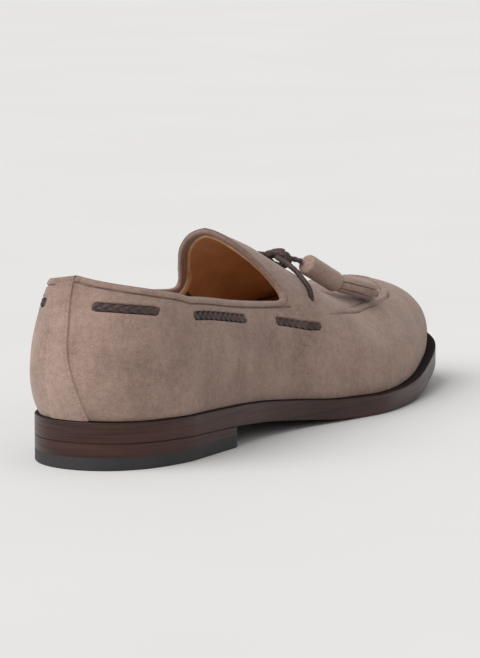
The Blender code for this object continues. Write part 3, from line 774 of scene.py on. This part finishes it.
def vamp_places():
    """The grid of the vamp and the tongue, from its end to the toe, outer side first in each column."""
    fractions = np.linspace(0, 1, APRON_ROWS)
    grid, reliefs, shades = [], [], []
    for step in np.linspace(1, 0, TONGUE_COLUMNS)[:-1]:
        grid.append(tongue_line(step, fractions))
        reliefs.append(np.zeros(2 * APRON_ROWS - 1))
        shades.append(np.zeros(2 * APRON_ROWS - 1))
    path = 0.0
    last = None
    for turn in TURNS[TURNS >= THROAT_TURN - 1e-9]:
        line, relief, shade = [], [], []
        for side in ("outer", "inner"):
            here = section(turn, side)
            arcs = np.interp(fractions, (0, 1), (edge_arc(turn, side), here.arc[-1]))
            points = here.at_arc(arcs) - MIDDLE
            if side == "outer":
                path += 0.0 if last is None else np.linalg.norm(points[0] - last)
                last = points[0]
            line.append(points)
            distance = seam_distance(turn, side, arcs)
            relief.append(seam_relief(distance, turn, pucker_at(path)))
            # Painted shade in the seam's side grooves.
            shade.append(seam_shade(distance, turn))
        for both, kept in ((line, grid), (relief, reliefs), (shade, shades)):
            kept.append(np.concatenate([both[0], both[1][-2::-1]]))
    return np.array(grid), np.array(reliefs), np.array(shades)


def tongue_line(step, fractions):
    """Points across the tongue at a share of its length, from its outer to its inner edge."""
    throat = section_line(THROAT_TURN, "outer")[0][0]
    halves = []
    for side in ("outer", "inner"):
        corner = CORNER[side]
        line = section(THROAT_TURN, side)
        low = line.arc_at_share(corner)
        shares = np.interp(low + fractions * (line.arc[-1] - low), line.arc, line.shares)
        points = []
        for share in shares:
            across = (1 - share) / (1 - corner)
            x = throat - step * TONGUE_LENGTH * float(smooth(TONGUE, side, across))
            here = section(turn_at(x / LENGTH), side)
            points.append(here.at_arc(here.arc_at_share(share)))
        halves.append(np.array(points) - MIDDLE)
    return np.concatenate([halves[0], halves[1][-2::-1]])


def evened(loop):
    """A closed loop with each point drawn halfway to the middle of its neighbours."""
    return 0.5 * loop + 0.25 * (np.roll(loop, 1, 0) + np.roll(loop, -1, 0))


def from_corner(count):
    """How many points along the opening's loop each one lies from the nearer corner of the throat."""
    at = np.arange(count)
    return np.minimum(np.minimum(at, count - at), np.abs(at - INNER_CORNER))


def mouth_path():
    """The edge of the opening as a closed loop: places, outward directions and those over the edge."""
    places, normals = [], []
    turns = np.linspace(0, THROAT_TURN, SIDE_POINTS)
    for side, some in (("outer", turns[::-1]), ("inner", turns[1:])):
        for turn in some:
            point, normal = skin(turn, side, np.array([collar_arc(turn, side)]))
            places.append(point[0])
            normals.append(normal[0])
    fractions = np.linspace(0, 1, TONGUE_POINTS)
    edge = tongue_line(1.0, fractions)[::-1]
    behind = tongue_line(0.93, fractions)[::-1]
    across = unit(np.cross(np.gradient(edge, axis=0), edge - behind))
    across *= np.sign(across[:, 2:3])
    places = np.concatenate([places, edge[1:-1]])
    normals = np.concatenate([normals, across[1:-1]])
    for _ in range(5):
        places, normals = evened(places), evened(normals)
    round_off = (1 - step_up(from_corner(len(places)), 4, 9))[:, None]
    for _ in range(14):
        normals = evened(normals)
        places = places + (evened(places) - places) * round_off
    along = np.roll(places, -1, 0) - np.roll(places, 1, 0)
    out = unit(np.cross(along, unit(normals)))
    return places, unit(np.cross(out, along)), out


def swept(path, profile):
    """The grid of a closed band along the mouth: the profile's places are outward and over the edge."""
    places, normals, out = path
    return places[:, None] + normals[:, None] * profile[..., :1] + out[:, None] * profile[..., 1:]


def make_mouth(suede, raw_edge):
    """The suede folded over the edge of the opening, and the raw edge of the lining inside the fold."""
    path = mouth_path()
    places = path[0]
    count = len(places)
    from_strap = (places[:, 1] + MIDDLE[1] - STRAP_SHIFT - STRAP_LEAN) / (STRAP_WIDTH * 0.5)
    from_strap = np.where(from_strap > 0, from_strap * 0.4, from_strap)
    under_strap = np.exp(-(from_strap**8)) * (places[:, 0] < -0.10)
    at = np.arange(count)
    after = at - INNER_CORNER
    on_tongue = step_up(after, 1, 8) * (1 - step_up(after, 24, 33))
    deeper = TONGUE_FOLD_DEEPER * on_tongue[:, None]
    outward = np.tile(FOLD_OUTWARD, (count, 1))
    outward = np.where(outward > 0, outward * (1 - under_strap)[:, None], outward)
    over = np.array(FOLD_OVER)
    inside = (over < -0.6) & (np.arange(len(over)) >= FOLD_INSIDE)
    profile = np.stack([outward, over - inside * deeper], -1) * MILLIMETRE
    fold = swept(path, profile)
    fold += worked_suede(fold, np.zeros(fold.shape[:-1]))[..., None] * path[1][:, None]
    bm = sheet(fold, closed=True)
    bmesh.ops.recalc_face_normals(bm, faces=bm.faces)
    finish_piece(bm, "collar_fold", suede, ("collar_binding_outer", "collar_binding_inner"))

    rough = 0.12 * soft_noise(places, 0.004, 11) + 0.10 * soft_noise(places, 0.0017, 12)
    at_corner = (1 - step_up(from_corner(count), 3, 9))[:, None]
    over = np.array(RAW_OVER) + rough[:, None] - deeper
    over[:, [0, -1]] -= RAW_CORNER_DEEPER * at_corner
    profile = np.stack([np.tile(RAW_OUTWARD, (count, 1)), over], -1) * MILLIMETRE
    bm = sheet(swept(path, profile), closed=True)
    bmesh.ops.recalc_face_normals(bm, faces=bm.faces)
    finish_piece(bm, "lining_raw_edge", raw_edge, ())


def make_lining(calf):
    """The calf lining that shows inside the opening, a little inside the suede."""
    grid = []
    for turn, side in loop_columns()[::4]:
        arcs = np.linspace(0.001, edge_arc(turn, side) - 0.0015, 22)
        grid.append(section(turn, side).at_arc(arcs) - MIDDLE)
    grid = np.array(grid)
    inner = grid - grid_normals(grid, closed=True) * LINING_DEPTH
    bm = sheet(inner, closed=True, outward=False)
    vamp = vamp_places()[0][::3, ::3]
    absorb(bm, sheet(vamp - upward_normals(vamp) * LINING_DEPTH, outward=False))
    finish_piece(bm, "lining", calf, ())


def make_back_strap(suede):
    """The strap over the heel's seam, with a stepped edge, stitch rows and a turned top."""
    girth = float(np.linalg.norm(FEATHER[0] - np.array([HEEL_CENTRE * LENGTH, 0.0]))) * math.pi / 2
    shares = np.linspace(0.01, 1.0, 250)
    arounds = np.linspace(-0.011, 0.016, 68)
    lines = []
    for around in arounds:
        side = "outer" if around < 0 else "inner"
        turn = abs(around) / girth
        lines.append(section(turn, side).at_arc(shares * collar_arc(turn, side)) - MIDDLE)
    lines = np.array(lines)
    across = np.linspace(-0.5, 0.5, 57)
    top = collar_arc(0.0, "outer")
    places, lifts = [], []
    for row, share in enumerate(shares):
        flare = max(0.0, 1 - share / STRAP_FOOT_TOP) ** STRAP_FLARE
        width = STRAP_WIDTH + (STRAP_FOOT_WIDTH - STRAP_WIDTH) * flare
        lean = STRAP_LEAN * step_up(share, 0.55, 1.0) - STRAP_SPREAD * step_up(1 - share, 0.45, 0.98)
        at = across * width + STRAP_SHIFT + lean
        places.append(read_line(at, arounds, lines[:, row]))
        from_edge = (0.5 - np.abs(across)) * width
        lift = -GAP + (OVERLAY + 0.0004) * step_up(from_edge, 0.0, 0.0004)
        lift = lift - stitch_dip(from_edge - STITCH_INSET, share * top)
        lift = lift - stitch_dip((1 - share) * top - STRAP_TOP_ROW, across * width)
        lifts.append(lift)
    places, lifts = np.array(places), np.array(lifts)
    normals = grid_normals(places, closed=False)
    normals *= np.where(normals[..., :1] < 0, 1.0, -1.0)
    grid = places + normals * lifts[..., None]
    edge = places[-1]
    up = unit(edge - places[-4])
    rim = [edge + normals[-1] * out + up * over for out, over in STRAP_ROLL]
    grid = np.concatenate([grid[:-3], rim])
    height, size, seed = STRAP_UNEVEN
    grid = grid + grid_normals(grid, closed=False) * height * soft_noise(grid, size, seed)[..., None]
    bm = sheet(grid)
    bmesh.ops.recalc_face_normals(bm, faces=bm.faces)
    finish_piece(bm, "heel_strap", suede, ("back_strap",))


def stitch_dip(across, along):
    """How deep a row of stitches presses into the suede, at a distance from the row and along it."""
    row = 0.00020 * np.exp(-((across / 0.0005) ** 2))
    holes = 0.00035 * np.exp(-((across / 0.0004) ** 2))
    return row + holes * np.maximum(0.0, np.cos(2 * math.pi * along / STITCH_PITCH)) ** 4


def tube(path, radius, sides, relief=None):
    """A tube along a path, with round ends, as a grid of rings, and the arc lengths of its rings.

    The relief lifts it by arc length and by the angle round it.
    """
    along = unit(np.gradient(path, axis=0))
    side = np.cross(along[0], np.array([0.0, 0.0, 1.0]))
    angles = np.linspace(0, 2 * math.pi, sides, endpoint=False)
    arc = arc_lengths(path)
    rings = []
    for point, direction, at in zip(path, along, arc):
        side = unit(side - direction * (side @ direction))
        size = radius * np.ones(sides)
        if relief is not None:
            size = size * (1 + relief(at, angles))
        to_end = min(at, arc[-1] - at) / (radius * 0.6)
        size = size * math.sqrt(max(0.0, 1 - max(0.0, 1 - to_end) ** 2) + 0.02)
        round_it = np.cos(angles)[:, None] * side + np.sin(angles)[:, None] * np.cross(side, direction)
        rings.append(point + size[:, None] * round_it)
    return np.array(rings), arc


def tube_mesh(rings):
    """The closed mesh of a tube: rings bridged round, with both ends filled."""
    columns = np.transpose(rings, (1, 0, 2))
    bm = sheet(columns, closed=True)
    bmesh.ops.holes_fill(bm, edges=[edge for edge in bm.edges if edge.is_boundary])
    bmesh.ops.recalc_face_normals(bm, faces=bm.faces)
    return bm


def joined(meshes):
    """Several meshes as one."""
    whole = bmesh.new()
    for bm in meshes:
        absorb(whole, bm)
    return whole


def braid_relief(arc, angles):
    """The ridges of a round braid, two sets of strands that cross."""
    twist = 2 * math.pi * arc / BRAID_PITCH
    return 0.13 * np.maximum(np.cos(2 * (angles - twist)), np.cos(2 * (angles + twist))) - 0.05


def make_lace(leather, knot, tassels):
    """The lace's free ends, which carry the knot and the tassels. The knot and the tassels given to it are
    not used.
    """
    for side in ("outer", "inner"):
        route = route_points(LACE_ROUTE, side)
        first = over_vamp(LACE_ROUTE["along"][0] - 0.001, LACE_ROUTE[side][0] * 1.04, -0.0012)
        path = through(np.concatenate([[first], route]), LACE_STEP)
        rings, arc = tube(path, LACE_DIAMETER / 2 * 0.98, 20, braid_relief)
        bm = tube_mesh(rings)
        piece = finish_piece(bm, f"braided_lace_{side}", leather, (f"lace_{side}",))


def make_knot(leather):
    """The wrap of the knot round both ends of the lace."""
    centre = over_vamp(KNOT_PLACE[0], KNOT_PLACE[1], KNOT_PLACE[2] - KNOT_LOWER)
    wrap = []
    for turns in np.linspace(0, KNOT_TURNS + 1, 40):
        angle = 2 * math.pi * turns + KNOT_START * math.pi
        along = KNOT_PITCH * 0.75 * (turns - KNOT_TURNS / 2 - 0.5)
        wrap.append(centre + (along, KNOT_HALF_WIDTH * math.cos(angle), KNOT_HALF_HEIGHT * math.sin(angle)))
    rings, _ = tube(through(wrap, LACE_STEP), LACE_DIAMETER / 2 * KNOT_STRAND, 20, braid_relief)
    return finish_piece(tube_mesh(rings), "knot_wrap", leather, ("lace_knot",))


def make_braids(leather):
    """The flat braid in each slot: three strands that cross over one another."""
    for side in ("outer", "inner"):
        for number, (start, end) in enumerate(slot_turns(side), start=1):
            line = [skin(turn, side, np.array([slot_arc(turn, side)]))
                    for turn in np.linspace(start - 0.004, end + 0.004, 60)]
            points = np.array([place[0] for place, normal in line])
            normals = np.array([normal[0] for place, normal in line])
            arc = arc_lengths(points)
            fine = np.linspace(0, arc[-1], max(30, round(arc[-1] / 0.0003)))
            points, normals = read_line(fine, arc, points), read_line(fine, arc, normals)
            across = unit(np.cross(normals, np.gradient(points, axis=0)))
            strands = []
            for strand in range(3):
                phase = 2 * math.pi * (fine / PLAIT_PITCH + strand / 3)
                swing = (BRAID_WIDTH / 2 - PLAIT_STRAND) * np.sin(phase)
                rise = PLAIT_RISE * np.sin(2 * phase)
                path = points + across * swing[:, None] + normals * (rise - PLAIT_DEPTH)[:, None]
                strands.append(flat_strand(path, normals))
            finish_piece(joined(strands), f"plait_{side}_{number}", leather,
                         (f"lace_bar_{side}_{number}",))


def flat_strand(path, normals):
    """A flat strand along a path, with a rounded section that turns with it."""
    sideways = unit(np.cross(normals, unit(np.gradient(path, axis=0))))
    angles = np.linspace(0, 2 * math.pi, 12, endpoint=False)[None, :, None]
    wide = PLAIT_STRAND * np.cos(angles) * sideways[:, None]
    high = PLAIT_HALF_HEIGHT * np.sin(angles) * normals[:, None]
    return tube_mesh(path[:, None] + (wide + high))


def aimed(start, end):
    """The turn of a frame whose third axis points from start to end, and the distance."""
    way = Vector(end) - Vector(start)
    return np.array(way.to_track_quat("Z", "Y").to_matrix()), way.length


def make_tassels(suede):
    """For each end of the lace a rolled head, and a fringe of strips."""
    pieces = {}
    for side in ("outer", "inner"):
        start, middle, end = route_points(TASSEL_ROUTE, side)
        pieces[side] = [
            finish_piece(head_mesh(start, middle), f"rolled_head_{side}", suede,
                         (f"tassel_head_{side}",)),
            finish_piece(fringe_mesh(middle, end), f"fringe_{side}", suede,
                         (f"tassel_fringe_{side}",)),
        ]
    return pieces


def head_mesh(start, end):
    """The rolled suede: a cone with rounded ends and the step of its last turn along it."""
    turned, length = aimed(start, end)
    angles = np.linspace(0, 2 * math.pi, 64, endpoint=False)
    from_step = (angles - HEAD_SEAM + math.pi) % (2 * math.pi) - math.pi
    step = HEAD_STEP * np.exp(-(((from_step + 0.12) / 0.10) ** 2))
    rings = []
    for share, size in HEAD_PROFILE:
        radius = HEAD_RADIUS + (HEAD_END_RADIUS - HEAD_RADIUS) * share + HEAD_THICKER * (1 - share)
        out = radius * size * (1 - step)
        ring = np.stack([np.cos(angles) * out, np.sin(angles) * out, 0 * angles + share * length], 1)
        rings.append(start + ring @ turned.T)
    return tube_mesh(np.array(rings))


def fringe_mesh(start, end):
    """The strips of the fringe, side by side round the tassel, each one bent to it and free at its tip."""
    turned, length = aimed(start, end)
    strips = []
    rng = np.random.default_rng(4)
    for number in range(FRINGE_STRIPS):
        middle = 2 * math.pi * number / FRINGE_STRIPS + FRINGE_TURN
        tip_radius = FRINGE_RADIUS * FRINGE_SPREAD * rng.uniform(0.92, 1.06)
        tip = rng.uniform(*FRINGE_TIPS)
        lean = rng.uniform(-0.10, 0.10)
        rows = []
        for share in np.linspace(0, 1, 26):
            spread = FRINGE_ROOT_RADIUS + (tip_radius - FRINGE_ROOT_RADIUS) * share**0.7 - 0.0002
            half = (math.pi / FRINGE_STRIPS) * (0.85 - 0.04 * share)
            half *= math.sqrt(max(0.0, 1 - max(0.0, (share - 0.95) / 0.05) ** 2 * 0.4))
            angles = middle + lean * share + np.linspace(-half, half, 13)
            flat = 1 - 0.25 * share
            along = FRINGE_GAP * 0.3 + share * (length + tip - FRINGE_GAP)
            row = np.stack([np.cos(angles) * spread, np.sin(angles) * spread * flat, 0 * angles + along], 1)
            rows.append(start + row @ turned.T)
        bm = sheet(np.array(rows))
        bmesh.ops.recalc_face_normals(bm, faces=bm.faces)
        bmesh.ops.solidify(bm, geom=bm.verts[:] + bm.edges[:] + bm.faces[:], thickness=STRIP_THICKNESS)
        bmesh.ops.recalc_face_normals(bm, faces=bm.faces)
        strips.append(bm)
    core, _ = tube(np.linspace(start, start + (end - start) * 0.8, 12), FRINGE_ROOT_RADIUS * 0.72, 16)
    strips.append(tube_mesh(core))
    return joined(strips)


def even_loop(loop, spacing):
    """A closed plan loop with its points at an even spacing."""
    closed = np.concatenate([loop, loop[:1]])
    arc = arc_lengths(closed)
    return read_line(np.linspace(0, arc[-1], round(arc[-1] / spacing), endpoint=False), arc, closed)


def slab(name, loop, low, high, soft_low, soft_high, material, replaces):
    """A layer of the sole, with a rounded rim and both faces closed along a line down its middle."""
    inward = inward_of(loop)
    span = loop[:, 0].min(), loop[:, 0].max()
    long = span[1] - span[0]
    middle_x = np.clip(loop[:, 0], span[0] + 0.3 * long, span[1] - 0.16 * long)
    middle_y = (half_width(middle_x, "inner") - half_width(middle_x, "outer")) / 2
    spine = np.stack([middle_x, middle_y], 1)
    rows = []
    for share in (0.0, 0.25, 0.5, 0.75, 0.92):
        flat = spine + (loop - spine) * share
        rows.append(np.column_stack([flat, low(flat[:, 0])]))
    for angle in np.linspace(0, math.pi / 2, 4):
        flat = loop + inward * soft_low * (1 - math.sin(angle))
        rows.append(np.column_stack([flat, low(flat[:, 0]) + soft_low * (1 - math.cos(angle))]))
    for share in (0.22, 0.36, 0.5, 0.64, 0.78):
        rows.append(np.column_stack([loop, low(loop[:, 0]) * (1 - share) + high(loop[:, 0]) * share]))
    for angle in np.linspace(math.pi / 2, 0, 4):
        flat = loop + inward * soft_high * (1 - math.sin(angle))
        rows.append(np.column_stack([flat, high(flat[:, 0]) - soft_high * (1 - math.cos(angle))]))
    for share in (0.92, 0.75, 0.4, 0.0):
        flat = spine + (loop - spine) * share
        rows.append(np.column_stack([flat, high(flat[:, 0])]))
    grid = np.stack(rows, 1) - MIDDLE
    bm = sheet(grid, closed=True)
    # The top face of each layer is darkened: painted shade in the crevice under the upper, with the ledge's
    # darker dye.
    darkened_top_rows = np.zeros(len(rows))
    darkened_top_rows[-6:] = 1.0
    mark_painted_shade_and_ledge_dye(bm, np.tile(darkened_top_rows, len(loop)))
    bmesh.ops.remove_doubles(bm, verts=bm.verts, dist=0.00002)
    bmesh.ops.recalc_face_normals(bm, faces=bm.faces)
    return finish_piece(bm, name, material, replaces)


def heel_loop():
    """The plan outline of the heel: the sole's round back and a straight breast with eased corners."""
    outline = sole_outline(count=1200)
    back = outline[outline[:, 0] < HEEL_LENGTH]
    first = np.argmax(np.linalg.norm(np.diff(back, axis=0), axis=1)) + 1
    back = np.concatenate([back[first:], back[:first]])
    loop = even_loop(back, 0.0008)
    for _ in range(3):
        loop = evened(loop)
    return loop


def make_sole(edge_leather, rubber):
    """The outsole, the welt and the heel's layers."""
    whole = even_loop(sole_outline(count=1200), 0.001)
    slab("outsole_leather", whole, tread, lambda x: tread(x) + OUTSOLE, 0.0006, 0.00006,
         edge_leather, ("outsole",))
    slab("welt_strip", whole, lambda x: tread(x) + OUTSOLE, seat, 0.00006, 0.0006,
         edge_leather, ("welt",))
    heel = heel_loop()
    slab("rubber_top_piece", heel, lambda x: 0.0 * x, lambda x: 0.0 * x + TOP_PIECE, 0.0005, 0.00008,
         rubber, ("heel_top_piece",))
    for number, (low, high) in enumerate(((0.0, 0.5), (0.5, 1.0)), start=1):
        def under(x, share=low):
            return TOP_PIECE + share * (tread(x) - TOP_PIECE)

        def over(x, share=high):
            return TOP_PIECE + share * (tread(x) - TOP_PIECE)

        slab(f"stacked_lift_{number}", heel, under, over, 0.00005, 0.00005,
             edge_leather, (f"heel_lift_{number}",))


def put(tree, kind, inputs=None, **settings):
    """A node of a kind, with its settings and its inputs, as values or as the outputs that feed them."""
    node = tree.nodes.new(f"ShaderNode{kind}")
    for name, value in settings.items():
        setattr(node, name, value)
    for name, value in (inputs or {}).items():
        if isinstance(value, bpy.types.NodeSocket):
            tree.links.new(value, node.inputs[name])
        else:
            node.inputs[name].default_value = value
    return node


def noise(tree, vector, scale, detail=2.0, roughness=0.5):
    """Noise at a scale, as one value."""
    return put(tree, "TexNoise", {"Vector": vector, "Scale": scale, "Detail": detail,
                                  "Roughness": roughness}).outputs["Fac"]


def remap(tree, value, low, high, to_low=0.0, to_high=1.0):
    """A value brought from one range to another."""
    return put(tree, "MapRange", {"Value": value, "From Min": low, "From Max": high,
                                  "To Min": to_low, "To Max": to_high}).outputs["Result"]


def maths(tree, operation, first, second):
    """Two values put together by an operation."""
    return put(tree, "Math", {0: first, 1: second}, operation=operation).outputs[0]


def mixed(tree, share, first, second):
    """A colour between two, by a share."""
    node = put(tree, "Mix", data_type="RGBA")
    for index, value in ((0, share), (6, first), (7, second)):
        if isinstance(value, bpy.types.NodeSocket):
            tree.links.new(value, node.inputs[index])
        else:
            node.inputs[index].default_value = value if index == 0 else (*value, 1.0)
    return node.outputs[2]


def new_group(name, inputs, outputs):
    """An empty shader node group with its sockets, its input node and its output node."""
    tree = bpy.data.node_groups.new(name, "ShaderNodeTree")
    for label, kind in inputs:
        tree.interface.new_socket(label, in_out="INPUT", socket_type=f"NodeSocket{kind}")
    for label, kind in outputs:
        tree.interface.new_socket(label, in_out="OUTPUT", socket_type=f"NodeSocket{kind}")
    return tree, tree.nodes.new("NodeGroupInput"), tree.nodes.new("NodeGroupOutput")


def nap_group():
    """The nap of suede: short fibres, brushed patches and pores, as masks and a height."""
    tree, given, gives = new_group("suede_nap", [("Vector", "Vector")],
                                   [("Fibres", "Float"), ("Patches", "Float"), ("Height", "Float")])
    place = given.outputs["Vector"]
    fibres = noise(tree, place, 1400.0, 3.0, 0.6)
    grains = noise(tree, place, 420.0, 2.0, 0.55)
    patches = noise(tree, place, 60.0, 3.0, 0.55)
    broad = noise(tree, place, 18.0, 1.0)
    fine = maths(tree, "ADD", maths(tree, "MULTIPLY", fibres, 0.6), maths(tree, "MULTIPLY", grains, 0.4))
    tree.links.new(remap(tree, fine, 0.34, 0.66), gives.inputs["Fibres"])
    soft = maths(tree, "ADD", maths(tree, "MULTIPLY", patches, 0.6), maths(tree, "MULTIPLY", broad, 0.4))
    tree.links.new(remap(tree, soft, 0.36, 0.64), gives.inputs["Patches"])
    tree.links.new(fine, gives.inputs["Height"])
    return tree


def grain_group():
    """The grain of smooth leather: small rounded cells and a slight unevenness, as a mask and a height."""
    tree, given, gives = new_group("leather_grain", [("Vector", "Vector"), ("Cells", "Float")],
                                   [("Mottle", "Float"), ("Height", "Float")])
    place = given.outputs["Vector"]
    cells = put(tree, "TexVoronoi", {"Vector": place, "Scale": given.outputs["Cells"]}).outputs["Distance"]
    tree.links.new(remap(tree, noise(tree, place, 90.0, 3.0), 0.35, 0.65), gives.inputs["Mottle"])
    fine = maths(tree, "ADD", cells, maths(tree, "MULTIPLY", noise(tree, place, 900.0, 2.0), 0.5))
    tree.links.new(fine, gives.inputs["Height"])
    return tree


def new_material(name, **values):
    """A material with a Principled shader whose constant values are set on its own sockets."""
    material = bpy.data.materials.new(name)
    material.use_nodes = True
    tree = material.node_tree
    shader = tree.nodes["Principled BSDF"]
    for label, value in values.items():
        shader.inputs[label.replace("_", " ")].default_value = value
    where = put(tree, "TexCoord").outputs["Object"]
    return material, tree, shader, where


def bumped(tree, shader, height, strength, distance):
    """Feeds a height to the shader's normal as a bump."""
    node = put(tree, "Bump", {"Height": height, "Strength": strength, "Distance": distance})
    tree.links.new(node.outputs["Normal"], shader.inputs["Normal"])


def suede_material(nap, name, dark, light):
    """Napped suede: mottled by its fibres and by brushed patches, and darkened by painted shade where the
    mesh marks a hollow.
    """
    material, tree, shader, where = new_material(
        name, Sheen_Weight=0.35, Sheen_Roughness=0.45, Sheen_Tint=(0.95, 0.86, 0.80, 1.0),
        Specular_IOR_Level=0.12)
    group = put(tree, "Group", node_tree=nap)
    tree.links.new(where, group.inputs["Vector"])
    share = maths(tree, "ADD", maths(tree, "MULTIPLY", group.outputs["Fibres"], 0.55),
                  maths(tree, "MULTIPLY", group.outputs["Patches"], 0.45))
    colour = mixed(tree, share, dark, light)
    # Painted shade: where the mesh marks it, the colour is drawn towards a quarter of the dark suede.
    painted_shade_and_ledge_dye = put(tree, "Attribute", attribute_name="painted_shade_and_ledge_dye").outputs["Fac"]
    shaded = mixed(tree, maths(tree, "MULTIPLY", painted_shade_and_ledge_dye, 0.5), colour, tuple(0.25 * c for c in dark))
    tree.links.new(shaded, shader.inputs["Base Color"])
    tree.links.new(remap(tree, group.outputs["Patches"], 0, 1, 0.86, 0.98), shader.inputs["Roughness"])
    bumped(tree, shader, group.outputs["Height"], 0.6, 0.0007)
    return material


def smooth_leather(grain, name, dark, light, roughness, cells, depth=0.0002):
    """Smooth leather with a fine grain, a little uneven in colour and gloss."""
    material, tree, shader, where = new_material(name)
    group = put(tree, "Group", node_tree=grain)
    group.inputs["Cells"].default_value = cells
    tree.links.new(where, group.inputs["Vector"])
    tree.links.new(mixed(tree, group.outputs["Mottle"], dark, light), shader.inputs["Base Color"])
    tree.links.new(remap(tree, group.outputs["Mottle"], 0, 1, roughness - 0.06, roughness + 0.06),
                   shader.inputs["Roughness"])
    bumped(tree, shader, group.outputs["Height"], 0.5, depth)
    return material


def edge_material(name, dark, light):
    """The dressed edge of stacked leather: fine level layers under a satin finish, with its top ledge
    darkened, partly as painted shade under the upper and partly as its darker dye.
    """
    material, tree, shader, where = new_material(name, Coat_Roughness=0.3, Specular_IOR_Level=0.26)
    level = put(tree, "Mapping", {"Vector": where, "Scale": (22.0, 22.0, 1500.0)}).outputs["Vector"]
    broad = put(tree, "Mapping", {"Vector": where, "Scale": (14.0, 14.0, 260.0)}).outputs["Vector"]
    layers = noise(tree, level, 1.0, 2.0, 0.6)
    bands = noise(tree, broad, 1.0, 1.0)
    share = maths(tree, "ADD", maths(tree, "MULTIPLY", layers, 0.55), maths(tree, "MULTIPLY", bands, 0.45))
    ledge_shade_and_dye = put(tree, "Attribute", attribute_name="painted_shade_and_ledge_dye").outputs["Fac"]
    side = mixed(tree, remap(tree, share, 0.34, 0.66), dark, light)
    # Painted shade, with the ledge's darker dye: the top ledge is drawn towards a third of the dark edge
    # colour.
    shaded = mixed(tree, maths(tree, "MULTIPLY", ledge_shade_and_dye, 0.85), side, tuple(0.3 * c for c in dark))
    tree.links.new(shaded, shader.inputs["Base Color"])
    satin = remap(tree, bands, 0.3, 0.7, 0.34, 0.48)
    rough = maths(tree, "ADD", satin, maths(tree, "MULTIPLY", ledge_shade_and_dye, 0.45))
    tree.links.new(rough, shader.inputs["Roughness"])
    tree.links.new(remap(tree, ledge_shade_and_dye, 0.0, 1.0, 0.12, 0.0), shader.inputs["Coat Weight"])
    bumped(tree, shader, layers, 0.35, 0.0002)
    return material


def make_floor():
    """A wide pale floor."""
    material, tree, shader, where = new_material("pale_floor", Roughness=0.75, Specular_IOR_Level=0.3)
    mottle = remap(tree, noise(tree, where, 6.0, 2.0), 0.3, 0.7)
    colour = mixed(tree, mottle, (0.80, 0.795, 0.79), (0.82, 0.815, 0.81))
    tree.links.new(colour, shader.inputs["Base Color"])
    bm = bmesh.new()
    bmesh.ops.create_grid(bm, x_segments=4, y_segments=4, size=6.0)
    mesh = bpy.data.meshes.new("studio_floor")
    bm.to_mesh(mesh)
    bm.free()
    mesh.materials.append(material)
    floor = bpy.data.objects.new("studio_floor", mesh)
    bpy.context.scene.collection.objects.link(floor)


def make_lights():
    """Soft studio light: a pale room, and a broad key from the left above the heel."""
    world = bpy.data.worlds.new("studio")
    world.use_nodes = True
    background = world.node_tree.nodes["Background"]
    background.inputs["Color"].default_value = ROOM_COLOUR
    background.inputs["Strength"].default_value = ROOM_STRENGTH
    bpy.context.scene.world = world
    key = bpy.data.lights.new("key", "SUN")
    key.energy = KEY_STRENGTH
    key.angle = KEY_SPREAD
    item = bpy.data.objects.new("key", key)
    item.rotation_euler = Vector(KEY_FROM).to_track_quat("Z", "Y").to_euler()
    bpy.context.scene.collection.objects.link(item)


def make_camera():
    """The photograph's place and angle, aimed at the shoe."""
    data = bpy.data.cameras.new("camera")
    data.lens = LENS
    data.clip_start = 0.05
    camera = bpy.data.objects.new("camera", data)
    camera.location = CAMERA_PLACE
    aim = Vector(CAMERA_AIM) - Vector(CAMERA_PLACE)
    camera.rotation_euler = aim.to_track_quat("-Z", "Y").to_euler()
    bpy.context.scene.collection.objects.link(camera)
    bpy.context.scene.camera = camera


def dress(node, material):
    """Gives a solid that stays in sight its finish."""
    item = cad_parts[node]
    if not item.material_slots:
        item.data.materials.append(None)
    for place in item.material_slots:
        place.material = material


def main():
    """Makes the stage, the materials and every piece."""
    bpy.context.scene.view_settings.view_transform = "Standard"
    make_camera()
    make_lights()
    make_floor()
    nap = nap_group()
    grain = grain_group()
    suede = suede_material(nap, "taupe_suede", (0.190, 0.122, 0.098), (0.43, 0.300, 0.250))
    # A lighter copy of the same suede, as painted light on the heel strap and the tassels, which face the
    # key light.
    lightened_suede = suede_material(nap, "strap_suede_painted_light", (0.215, 0.140, 0.112), (0.46, 0.325, 0.272))
    edge = edge_material("dressed_edge", (0.019, 0.0075, 0.006), (0.072, 0.028, 0.020))
    calf = smooth_leather(grain, "lining_calf", (0.56, 0.31, 0.155), (0.66, 0.38, 0.20), 0.55, 900.0)
    raw = smooth_leather(grain, "raw_leather_edge", (0.62, 0.38, 0.21), (0.85, 0.58, 0.36), 0.9, 2500.0,
                         depth=0.0006)
    lace = smooth_leather(grain, "lace_leather", (0.034, 0.019, 0.016), (0.090, 0.053, 0.045), 0.6, 1500.0)
    rubber = smooth_leather(grain, "heel_rubber", (0.019, 0.017, 0.018), (0.031, 0.028, 0.030), 0.6, 700.0)
    make_lace(lace, make_knot(lace), make_tassels(lightened_suede))
    make_upper(suede)
    make_mouth(suede, raw)
    make_lining(calf)
    make_back_strap(lightened_suede)
    make_braids(lace)
    make_sole(edge, rubber)
    dress("insole", calf)


main()
